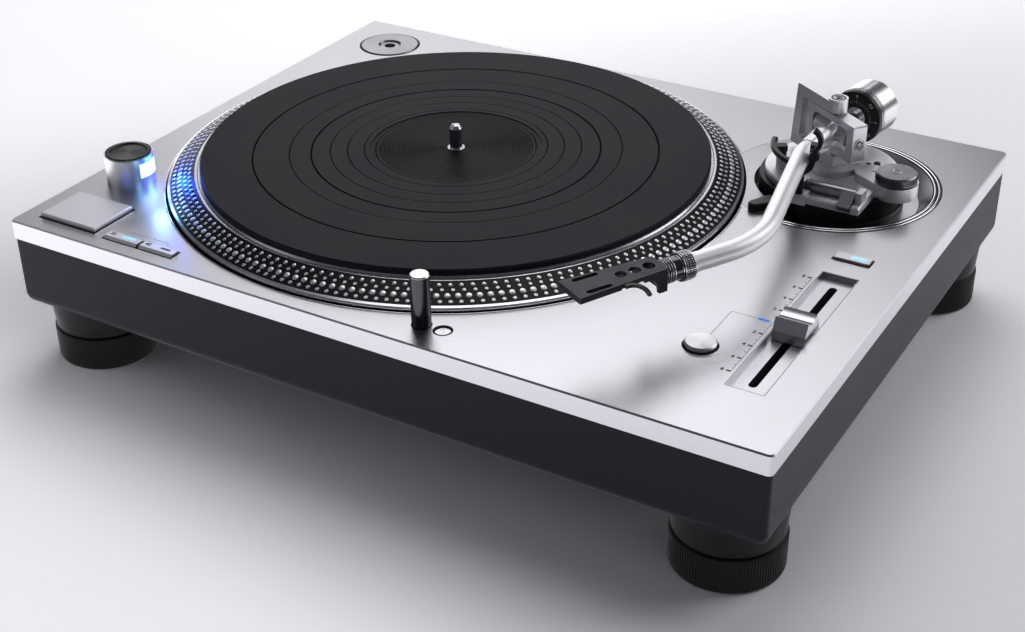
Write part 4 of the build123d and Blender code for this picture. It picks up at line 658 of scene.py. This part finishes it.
# %% Dress the solids
feet = ["foot_front_left", "foot_front_right", "foot_rear_left", "foot_rear_right"]
studs = [name.replace("foot", "foot_stud") for name in feet]
dress = [
    (panel_silver, ["top_panel"]),
    (case_charcoal, ["cabinet"]),
    (boss_black_and_shade, ["foot_bosses"]),
    (black_plastic, ["bottom_cover", "pitch_fader_body", "rear_terminals", "ac_inlet"]),
    (black_plastic, ["cue_lift", "arm_rest", "arm_clamp", "height_lock_lever"]),
    (bright_steel, ["case_screws", "spindle", "pivot_screws", "side_pivots", "rear_shaft"] + studs),
    (brass, ["bearing_housing"]),
    (copper, ["stator_coils"]),
    (board_green, ["main_board", "switch_board"]),
    (supply_grey, ["power_supply"]),
    (magnet_grey, ["rotor_magnet"]),
    (platter_metal, ["platter"]),
    (mat_rubber, ["platter_mat"]),
    (arm_satin, ["arm_base", "arm_bracket", "gimbal_ring", "pivot_block", "strobe_housing"]),
    (lever_grey, ["cue_lever"]),
    (slider_satin, ["pitch_slider"]),
    (tube_satin, ["arm_tube"]),
    (well_spun, ["arm_well"]),
    (button_satin, ["start_stop_button", "speed_button_33", "speed_button_45", "pitch_range_button"]),
    (weight_satin, ["counterweight", "weight_sleeve"]),
    (nut_chrome, ["headshell_lock_nut"]),
    (adaptor_spun, ["single_adaptor"]),
    (reset_spun, ["pitch_reset_button"]),
    (light_spun, ["target_light"]),
    (light_button_spun, ["target_light_button"]),
    (knob_spun, ["power_knob"]),
    (skate_spun, ["anti_skate_dial"]),
    (strobe_glow, ["strobe_window", "strobe_lamp"]),
    (black_anodised, ["height_ring", "pressure_dial", "finger_lift"]),
    (shell_charcoal, ["headshell"]),
    (foot_black_and_shade, feet),
]
dressed = set()
for material, names in dress:
    for name in names:
        nodes[name].data.materials.clear()
        nodes[name].data.materials.append(material)
        dressed.add(name)
print("not dressed:", sorted(set(nodes) - dressed))

# %% [markdown]
# Every new piece is a primitive that is shaped in edit mode. These helpers do the steps that all of them
# share. At the end, a piece has its place in its mesh, its finish, and the body on which it rides.

# %% Helpers for new pieces


def pick(obj):
    """Selects only this object and makes it the active one."""
    bpy.ops.object.select_all(action="DESELECT")
    obj.select_set(True)
    bpy.context.view_layer.objects.active = obj


def start_edit(obj):
    """Selects only this object and everything in it, in edit mode."""
    pick(obj)
    bpy.ops.object.mode_set(mode="EDIT")
    bpy.ops.mesh.select_all(action="SELECT")


def end_edit():
    """Back to object mode."""
    bpy.ops.object.mode_set(mode="OBJECT")


def place_in_mesh(obj):
    """Moves the object's place, turn and size into its mesh."""
    pick(obj)
    bpy.ops.object.transform_apply(location=True, rotation=True, scale=True)
    obj.rotation_mode = "XYZ"


def settle(obj, name, body, material):
    """Names a finished piece, gives it its finish and lets it ride on its body."""
    place_in_mesh(obj)
    obj.name = name
    obj.data.materials.clear()
    obj.data.materials.append(material)
    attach(obj, body)
    return obj


print("helpers ready")

# %% [markdown]
# Strobe dots: four rows of bright domes on the black band. The numbers of dots differ from row to row,
# because each row seems to stand still at another speed. A dot is a low cylinder whose top is inset and
# raised. It is modelled once and carried round the platter with the Spin tool, which can leave copies
# instead of a surface.

# %% Strobe dots


def top_inset(obj, thickness, depth):
    """Insets and raises the face that looks along +Z, before the piece is turned into place."""
    start_edit(obj)
    bpy.ops.mesh.select_all(action="DESELECT")
    end_edit()
    level = max(vertex.co.z for vertex in obj.data.vertices)
    for face in obj.data.polygons:
        face.select = face.normal.z > 0.9 and face.center.z > level - 1e-7
    bpy.ops.object.mode_set(mode="EDIT")
    bpy.ops.mesh.select_mode(type="FACE")
    bpy.ops.mesh.inset(thickness=thickness, depth=depth)
    end_edit()


def face_along(obj, axis):
    """Turns a new piece so that its +Z looks along an axis."""
    obj.rotation_mode = "QUATERNION"
    obj.rotation_quaternion = UP.rotation_difference(axis)


def smooth(obj):
    """Smooth shading, with sharp edges kept sharp."""
    pick(obj)
    bpy.ops.object.shade_smooth_by_angle(angle=radians(35))


def round_copies(obj, count, centre, axis):
    """Carries the whole mesh all round an axis in equal steps."""
    place_in_mesh(obj)
    start_edit(obj)
    last_copy = 2 * pi * (count - 1) / count
    bpy.ops.mesh.spin(steps=count - 1, dupli=True, angle=last_copy, center=centre, axis=axis)
    end_edit()


BAND_SLOPE = atan2(6.4, 14.6)
BAND_EDGE = 150 * MM
BAND_TOP = 97.3 * MM
DOT_ROWS = ((152.9, 170, 1.15), (155.7, 175, 1.0), (159.1, 184, 1.65), (162.4, 190, 1.1))
for row, (radius, count, size) in enumerate(DOT_ROWS):
    drop = (radius * MM - BAND_EDGE) * tan(BAND_SLOPE)
    start = heading(-39.9)
    place = PLATTER + start * radius * MM + UP * (BAND_TOP - drop)
    bpy.ops.mesh.primitive_cylinder_add(vertices=10, radius=size * MM, depth=0.5 * MM)
    dot = bpy.context.object
    top_inset(dot, size * 0.20 * MM, 0.16 * MM)
    smooth(dot)
    dot.location = place
    face_along(dot, UP * cos(BAND_SLOPE) + start * sin(BAND_SLOPE))
    round_copies(dot, count, PLATTER, UP)
    settle(dot, f"strobe_dots_{row + 1}", "platter", dot_metal)
    print(dot.name, len(dot.data.polygons), "faces")

# %% [markdown]
# Knurling: fine ribs round the feet, the height ring, the power knob, the dials and the headshell nut.
# One rib is a thin block with bevelled edges, set half into the wall that it stands on, and carried round
# the axis.

# %% Knurled rims


def knurl(name, centre, axis, radius, start, length, count, width, depth, body, material):
    """Ribs along a cylinder's wall, from start over length, counted along the axis from the centre."""
    turn = UP.rotation_difference(axis)
    side = turn @ ALONG_X
    bpy.ops.mesh.primitive_cube_add(size=1, location=centre + axis * (start + length / 2) + side * radius)
    rib = bpy.context.object
    rib.scale = (2 * depth, width, length)
    rib.rotation_mode = "QUATERNION"
    rib.rotation_quaternion = turn
    place_in_mesh(rib)
    start_edit(rib)
    bpy.ops.mesh.bevel(offset=min(width, depth) * 0.3, segments=1)
    end_edit()
    round_copies(rib, count, centre, axis)
    return settle(rib, name, body, material)


def knurled_band(
    name, centre, axis, radius, start, length, rows, count, width, depth, body, material
):
    """Several short rows of ribs side by side, as a checkered knurl shows at a distance."""
    step = length / rows
    for row in range(rows):
        shifted = start + (row + 0.1) * step
        knurl(
            f"{name}_{row + 1}", centre, axis, radius, shifted, step * 0.75, count, width, depth, body,
            material,
        )


for name in feet:
    knurl(
        name + "_knurl", middle(name), UP, 28.3 * MM, 1.6 * MM, 17.6 * MM, 110, 0.9 * MM, 0.3 * MM,
        name, foot_black_and_shade,
    )
knurled_band(
    "height_ring_knurl", PIVOT, UP, 40.2 * MM, 83.4 * MM, 9.4 * MM, 6, 150, 1.0 * MM, 0.35 * MM,
    "height_ring", black_anodised,
)
skate_top = top("anti_skate_dial")
knurled_band(
    "anti_skate_knurl", SKATE, UP, 11.3 * MM, skate_top - 4.4 * MM, 3.6 * MM, 3, 64, 0.7 * MM,
    0.25 * MM, "anti_skate_dial", black_anodised,
)
knob_top = top("power_knob")
knurl(
    "power_knob_knurl", TOWER, UP, 12.3 * MM, knob_top - 0.75 * MM, 0.75 * MM, 64, 0.6 * MM, 0.8 * MM,
    "power_knob", nut_chrome,
)
knurled_band(
    "pressure_dial_knurl", ARM_CENTRE, REAR, 15.5 * MM, 24.6 * MM, 3.2 * MM, 2, 96, 0.6 * MM, 0.35 * MM,
    "pressure_dial", bright_steel,
)
knurled_band(
    "lock_nut_knurl", NUT_START, -SHELL_WAY, 7.1 * MM, 5.9 * MM, 5.0 * MM, 3, 44, 0.55 * MM, 0.30 * MM,
    "headshell_lock_nut", bright_steel,
)

# %% [markdown]
# Printed marks are thin bars and raised digits on a face. A digit starts as text, which is made a mesh
# before it is put in its place.

# %% Helpers for marks
DIGIT_SIZE = 1.4
DIGIT_WEIGHT = 0.045


def strips(name, marks, level, body, material, thickness=0.05 * MM):
    """Thin printed bars on a level face. A mark is x, y, length, width (mm) and turn (degrees)."""
    bars = None
    for x, y, length, width, turn in marks:
        if bars is not None:
            start_edit(bars)
        bpy.ops.mesh.primitive_cube_add(
            size=1,
            location=(x * MM, y * MM, level),
            rotation=(0, 0, radians(turn)),
            scale=(length * MM, width * MM, thickness),
        )
        if bars is None:
            bars = bpy.context.object
            place_in_mesh(bars)
        else:
            end_edit()
    start_edit(bars)
    bpy.ops.mesh.bevel(offset=thickness * 0.35, segments=1)
    end_edit()
    return settle(bars, name, body, material)


def lettering(name, marks, body, material):
    """Raised digits. A mark is the text, its height, its middle, and its directions right and up."""
    pieces = []
    for text, size, place, right, upward in marks:
        bpy.ops.object.text_add()
        word = bpy.context.object
        word.data.body = text
        word.data.size = size * DIGIT_SIZE
        word.data.align_x = "CENTER"
        word.data.align_y = "CENTER"
        word.data.extrude = 0.03 * MM
        word.data.offset = size * DIGIT_WEIGHT
        word.data.resolution_u = 3
        pick(word)
        bpy.ops.object.convert(target="MESH")
        word = bpy.context.object
        turn = Matrix((right, upward, right.cross(upward))).transposed()
        word.matrix_world = Matrix.Translation(place) @ turn.to_4x4()
        place_in_mesh(word)
        pieces.append(word)
    pick(pieces[0])
    for word in pieces:
        word.select_set(True)
    if len(pieces) > 1:
        bpy.ops.object.join()
    return settle(bpy.context.object, name, body, material)


print("mark helpers ready")

# %% [markdown]
# The pitch scale runs beside the fader: a wide tick and a plain number for each two percent, thin ticks
# between them, a blue mark at zero, and a thin line that leads from the reset button to that mark. A thin
# frame runs round the fader.

# %% Pitch scale
SCALE_X = 181.2
SCALE_ZERO = -72.0
SCALE_STEP = 6.33
ZERO_MARK_LEFT = 173.0
LINE = 0.28
ticks = []
numbers = []
for step in range(-8, 9):
    y = SCALE_ZERO - step * SCALE_STEP
    if step % 2:
        ticks.append((SCALE_X + 0.35, y, 1.7, 0.36, 0))
    elif step:
        ticks.append((SCALE_X, y, 2.4, 1.15, 0))
        place = Vector((SCALE_X - 3.3, y, 0)) * MM + UP * DECK
        numbers.append((str(abs(step)), 2.3 * MM, place, ALONG_X, ALONG_Y))
for step in range(-15, 16, 2):
    ticks.append((SCALE_X + 0.65, SCALE_ZERO - step * SCALE_STEP / 2, 0.8, 0.18, 0))
ticks.append((SCALE_X + 1.15, SCALE_ZERO, 0.22, 16 * SCALE_STEP, 0))
strips("pitch_scale_ticks", ticks, DECK, "chassis", dark_print_and_shade)
lettering("pitch_scale_numbers", numbers, "chassis", dark_print_and_shade)
strips("pitch_zero_mark", [(177.4, SCALE_ZERO, 6.2, 2.0, 0)], DECK, "chassis", blue_print)
reset_x = RESET.x / MM
line_start = RESET.y / MM + 8.6
lead = [
    (reset_x, (line_start + SCALE_ZERO) / 2, LINE, SCALE_ZERO - line_start, 0),
    ((reset_x + ZERO_MARK_LEFT) / 2, SCALE_ZERO, ZERO_MARK_LEFT - reset_x, LINE, 0),
]
strips("pitch_reset_line", lead, DECK, "chassis", dark_print_and_shade)
FADER_MIDDLE = (194.3, -73.0)
FADER_WIDTH = 19.8
FADER_LENGTH = 122.8
FRAME_LINE = 0.3
fader_frame = []
for side in (1, -1):
    end_y = FADER_MIDDLE[1] + side * FADER_LENGTH / 2
    side_x = FADER_MIDDLE[0] + side * FADER_WIDTH / 2
    fader_frame.append((FADER_MIDDLE[0], end_y, FADER_WIDTH, FRAME_LINE, 0))
    fader_frame.append((side_x, FADER_MIDDLE[1], FRAME_LINE, FADER_LENGTH + 0.2, 0))
strips("pitch_fader_frame", fader_frame, DECK, "chassis", dark_print_and_shade)
print("scale", len(numbers), "numbers")

# %% [markdown]
# Marks on the buttons: a plain number and a lit bar on the 33 button, a number and a dark bar on the 45
# button, a lit bar on the range button, and a thin line behind the speed buttons that holds them
# together.

# %% Button marks
BUTTON_Y = middle("speed_button_33").y / MM
MARK_Y = BUTTON_Y + 1.2
SPEED_LEFTS = {"speed_button_33": -165.0, "speed_button_45": -140.4}
BRACKET_LEFT = -156.4
BRACKET_RIGHT = -131.0
BRACKET_Y = -154.6
BRACKET_LINE = 0.22
button_top = top("speed_button_33")
for name, left in SPEED_LEFTS.items():
    number = name[-2:]
    spot = Vector((left + 2.2, MARK_Y, 0)) * MM + UP * button_top
    lettering(
        name + "_number", [(number, 2.5 * MM, spot, ALONG_X, ALONG_Y)], name, dark_print_and_shade
    )
strips(
    "speed_33_light", [(-151.6, MARK_Y, 8.6, 2.2, 0)], button_top, "speed_button_33",
    bar_glow,
)
strips(
    "speed_45_light", [(-126.2, MARK_Y, 6.6, 1.7, 0)], button_top, "speed_button_45",
    bar_dark,
)
range_middle = middle("pitch_range_button") / MM
range_top = top("pitch_range_button")
strips(
    "pitch_range_light", [(range_middle.x + 3.0, range_middle.y + 0.3, 8.4, 2.6, 0)], range_top,
    "pitch_range_button", bar_glow,
)
bracket = []
for left, right in ((BRACKET_LEFT, -145.6), (-141.8, BRACKET_RIGHT)):
    bracket.append(((left + right) / 2, BRACKET_Y, right - left, BRACKET_LINE, 0))
for end in (BRACKET_LEFT, BRACKET_RIGHT):
    bracket.append((end, BRACKET_Y - 0.5, BRACKET_LINE, 1.2, 0))
strips("speed_line", bracket, DECK, "chassis", dark_print_and_shade)
print("button tops", round(button_top, 4), round(range_top, 4))

# %% [markdown]
# The gaps round the buttons and the adaptor are in shade. Dark seams on the deck stand for it: frames
# round the flat buttons, and flattened rings round the others.

# %% Seams


def seam(name, node, gap, width):
    """A dark frame on the deck round a button, where its gap is in shade."""
    low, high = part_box(node)
    left, front = low[0] / MM - gap, low[1] / MM - gap
    right, rear = high[0] / MM + gap, high[1] / MM + gap
    centre_x, centre_y = (left + right) / 2, (front + rear) / 2
    wide, long = right - left + width, rear - front + width
    frame_marks = [
        (centre_x, front, wide, width, 0),
        (centre_x, rear, wide, width, 0),
        (left, centre_y, width, long, 0),
        (right, centre_y, width, long, 0),
    ]
    strips(name, frame_marks, DECK, "chassis", dark_print_and_shade)


def ring(name, centre, axis, radius, thickness, body, material, flat=1.0, sides=120):
    """A round bar bent into a ring. A flat value below 1 presses it along the axis."""
    bpy.ops.mesh.primitive_torus_add(
        major_radius=radius, minor_radius=thickness, major_segments=sides, minor_segments=10
    )
    bar = bpy.context.object
    bar.scale = (1, 1, flat)
    place_in_mesh(bar)
    bar.location = centre
    face_along(bar, axis)
    place_in_mesh(bar)
    smooth(bar)
    return settle(bar, name, body, material)


seam("start_seam", "start_stop_button", 0.6, 1.3)
seam("speed_33_seam", "speed_button_33", 0.5, 1.0)
seam("speed_45_seam", "speed_button_45", 0.5, 1.0)
seam("range_seam", "pitch_range_button", 0.5, 1.0)
ROUND_SEAMS = (
    ("reset_seam", RESET, 8.55),
    ("adaptor_seam", ADAPTOR, 20.1),
    ("light_button_seam", LIGHT_BUTTON, 4.6),
)
for name, centre, radius in ROUND_SEAMS:
    ring(
        name, centre + UP * DECK, UP, radius * MM, 0.55 * MM, "chassis", dark_print_and_shade,
        flat=0.12,
    )

# %% [markdown]
# The pressure dial looks forward along the arm. Its face has fine ticks all round, a longer one at each
# half gram, and a plain number at each of those. The anti-skate dial has a small bright ring round its
# middle.

# %% Dials
DIAL_FACE = ARM_CENTRE + REAR * 22.37 * MM
DIAL_SIDE = UP.cross(REAR)


def dial_way(degrees):
    """A direction on the pressure dial's face, counted from straight up."""
    return UP * cos(radians(degrees)) + DIAL_SIDE * sin(radians(degrees))


def tick_on_dial(name, reach, length, width, count):
    """Ticks all round the face of the pressure dial."""
    bpy.ops.mesh.primitive_cube_add(size=1, location=DIAL_FACE + UP * reach)
    tick = bpy.context.object
    tick.scale = (width, 0.06 * MM, length)
    tick.rotation_euler = (0, 0, radians(REAR_TURN - 90))
    place_in_mesh(tick)
    start_edit(tick)
    bpy.ops.mesh.bevel(offset=0.015 * MM, segments=1)
    end_edit()
    round_copies(tick, count, ARM_CENTRE, REAR)
    settle(tick, name, "pressure_dial", white_print)


tick_on_dial("pressure_dial_ticks", 9.2 * MM, 1.7 * MM, 0.16 * MM, 40)
tick_on_dial("pressure_dial_long_ticks", 9.6 * MM, 2.8 * MM, 0.22 * MM, 8)
values = ("0", "0.5", "1", "1.5", "2", "2.5", "3", "3.5")
faces = []
for number, value in enumerate(values):
    outward = dial_way(-45 * number)
    faces.append((value, 1.7 * MM, DIAL_FACE + outward * 12.7 * MM, outward.cross(-REAR), outward))
lettering("pressure_dial_numbers", faces, "pressure_dial", white_print)

ring(
    "anti_skate_hub", SKATE + UP * skate_top, UP, 2.4 * MM, 0.30 * MM, "anti_skate_dial",
    bright_steel, sides=40,
)
print("dial numbers", len(faces))

# %% [markdown]
# Bright lines: the turned edge of the platter's well, the double trim round the arm's well with dark
# lines of painted shade beside it and between its rings, the rings of the lock nut and the collar, the
# lip of the strobe tower, and two lines on the height ring. Each is a thin round bar set half into the
# piece that carries it.

# %% Bright lines
WELL_EDGE_START = 36.6
WELL_EDGE_SPAN = 335


def arc(name, centre, radius, thickness, flat, start, span, body, material):
    """Part of a ring on the deck, made by spinning an upright round face. Angles are in degrees from +X."""
    bpy.ops.mesh.primitive_circle_add(vertices=10, radius=thickness, fill_type="NGON")
    bar = bpy.context.object
    bar.scale = (1, flat, 1)
    place_in_mesh(bar)
    bar.rotation_euler = (radians(90), 0, radians(start))
    bar.location = centre + heading(start) * radius
    place_in_mesh(bar)
    start_edit(bar)
    # The Spin tool turns clockwise for a positive angle.
    bpy.ops.mesh.spin(steps=max(8, round(span / 3)), angle=-radians(span), center=centre, axis=UP)
    bpy.ops.mesh.select_all(action="SELECT")
    bpy.ops.mesh.normals_make_consistent(inside=False)
    end_edit()
    smooth(bar)
    return settle(bar, name, body, material)


arc(
    "well_edge", PLATTER + UP * DECK, 167.9 * MM, 0.50 * MM, 0.8, WELL_EDGE_START, WELL_EDGE_SPAN,
    "chassis", polished,
)
TRIM_START = -102
TRIM_SPAN = 204
# The dark trims are painted shade at the well's edge and in the gap between the two bright rings.
ARM_TRIMS = (
    ("outer_shade", 61.7, 0.45, 0.35, dark_print_and_shade),
    ("outer", 60.6, 0.62, 0.6, polished),
    ("gap", 59.45, 0.60, 0.6, dark_print_and_shade),
    ("inner", 58.3, 0.62, 0.6, polished),
    ("inner_shade", 57.3, 0.45, 0.5, dark_print_and_shade),
)
for name, radius, thickness, flat, material in ARM_TRIMS:
    centre = PIVOT + UP * DECK
    arc(
        "arm_trim_" + name, centre, radius * MM, thickness * MM, flat, TRIM_START, TRIM_SPAN, "chassis",
        material,
    )
NUT_LINES = ((0.2, 6.0), (4.9, 6.05), (5.5, 7.1), (11.3, 7.1))
for number, (along, radius) in enumerate(NUT_LINES):
    place = NUT_START - SHELL_WAY * along * MM
    ring(
        f"lock_nut_line_{number + 1}", place, SHELL_WAY, radius * MM, 0.22 * MM, "headshell_lock_nut",
        polished, sides=48,
    )
for number, along in enumerate((0.9, 2.3, 3.7)):
    place = NUT_START + SHELL_WAY * (along + 0.3) * MM
    ring(
        f"collar_line_{number + 1}", place, SHELL_WAY, 6.0 * MM, 0.18 * MM, "headshell",
        bright_steel, sides=48,
    )
ring(
    "tower_lip", TOWER + UP * (top("strobe_housing") - 0.25 * MM), UP, 13.8 * MM, 0.28 * MM, "chassis",
    polished,
)
ring(
    "height_ring_line", PIVOT + UP * 80.6 * MM, UP, 40.2 * MM, 0.25 * MM, "height_ring",
    bright_steel,
)
ring(
    "height_ring_top_line", PIVOT + UP * 93.3 * MM, UP, 40.0 * MM, 0.22 * MM, "height_ring",
    nut_chrome,
)

# %% [markdown]
# Small fittings of the arm: the ring and the slot in the boss on top, the nut at the end of the side
# pivot, and the posts and the index mark beside the anti-skate dial.

# %% Arm fittings


def surface(name, x, y):
    """The height in metres of a node's upper surface at x and y on the plan, which are in millimetres."""
    solid = nodes[name]
    into = solid.matrix_world.inverted()
    found, spot, _, _ = solid.ray_cast(into @ Vector((x * MM, y * MM, 1)), into.to_3x3() @ -UP)
    return (solid.matrix_world @ spot).z if found else top(name)


def disc(name, centre, axis, radius, length, inset, rise, body, material, sides=40):
    """A low round cap whose face is inset and raised or sunk. The centre is the middle of its back face."""
    bpy.ops.mesh.primitive_cylinder_add(
        vertices=sides, radius=radius, depth=length, location=(0, 0, length / 2)
    )
    cap = bpy.context.object
    place_in_mesh(cap)
    top_inset(cap, min(inset, radius) * 0.25, inset * 0.12)
    top_inset(cap, inset, rise)
    cap.location = centre
    face_along(cap, axis)
    place_in_mesh(cap)
    smooth(cap)
    return settle(cap, name, body, material)


boss_top = top("arm_bracket")
screw_top = top("pivot_screws")
ring(
    "boss_ring", PIVOT + UP * (boss_top - 0.05 * MM), UP, 3.6 * MM, 0.55 * MM, "arm_base",
    black_anodised, flat=0.6, sides=48,
)
ring(
    "boss_screw_ring", PIVOT + UP * screw_top, UP, 2.0 * MM, 0.28 * MM, "arm_base",
    bright_steel, sides=40,
)
# The slot is a dark cross on the screw's top: painted shade in the slot.
cross = [(PIVOT.x / MM, PIVOT.y / MM, 4.2, 0.85, 20), (PIVOT.x / MM, PIVOT.y / MM, 4.2, 0.85, 110)]
strips("boss_screw_slot", cross, screw_top, "arm_base", dark_print_and_shade)
SIDE_WAY = heading(-34)
side_end = PIVOT + SIDE_WAY * 22 * MM + UP * ARM_HEIGHT
ring(
    "side_pivot_ring", side_end, SIDE_WAY, 3.25 * MM, 0.34 * MM, "gimbal", bright_steel,
    sides=48,
)
disc(
    "side_pivot_nut", side_end - SIDE_WAY * 0.1 * MM, SIDE_WAY, 2.5 * MM, 0.6 * MM, 0.9 * MM, -0.3 * MM,
    "gimbal", nut_chrome, sides=6,
)
SKATE_POSTS = ((168.2, 97.4, 1.5, 2.0), (172.8, 98.2, 1.9, 3.2), (177.6, 97.6, 1.5, 2.4))
SKATE_INDEX = (175.6, 85.0)
for number, (x, y, size, height) in enumerate(SKATE_POSTS):
    place = Vector((x, y, 0)) * MM + UP * (surface("arm_base", x, y) - 0.1 * MM)
    disc(
        f"skate_post_{number + 1}", place, UP, size * MM, height * MM, size * 0.35 * MM, 0.2 * MM,
        "arm_base", black_anodised, sides=24,
    )
index_level = surface("arm_base", *SKATE_INDEX)
strips(
    "anti_skate_index", [(*SKATE_INDEX, 3.0, 0.8, 161)], index_level, "arm_base",
    dark_print_and_shade,
)
print("boss", round(boss_top, 4), "screw", round(screw_top, 4), "index level", round(index_level, 4))
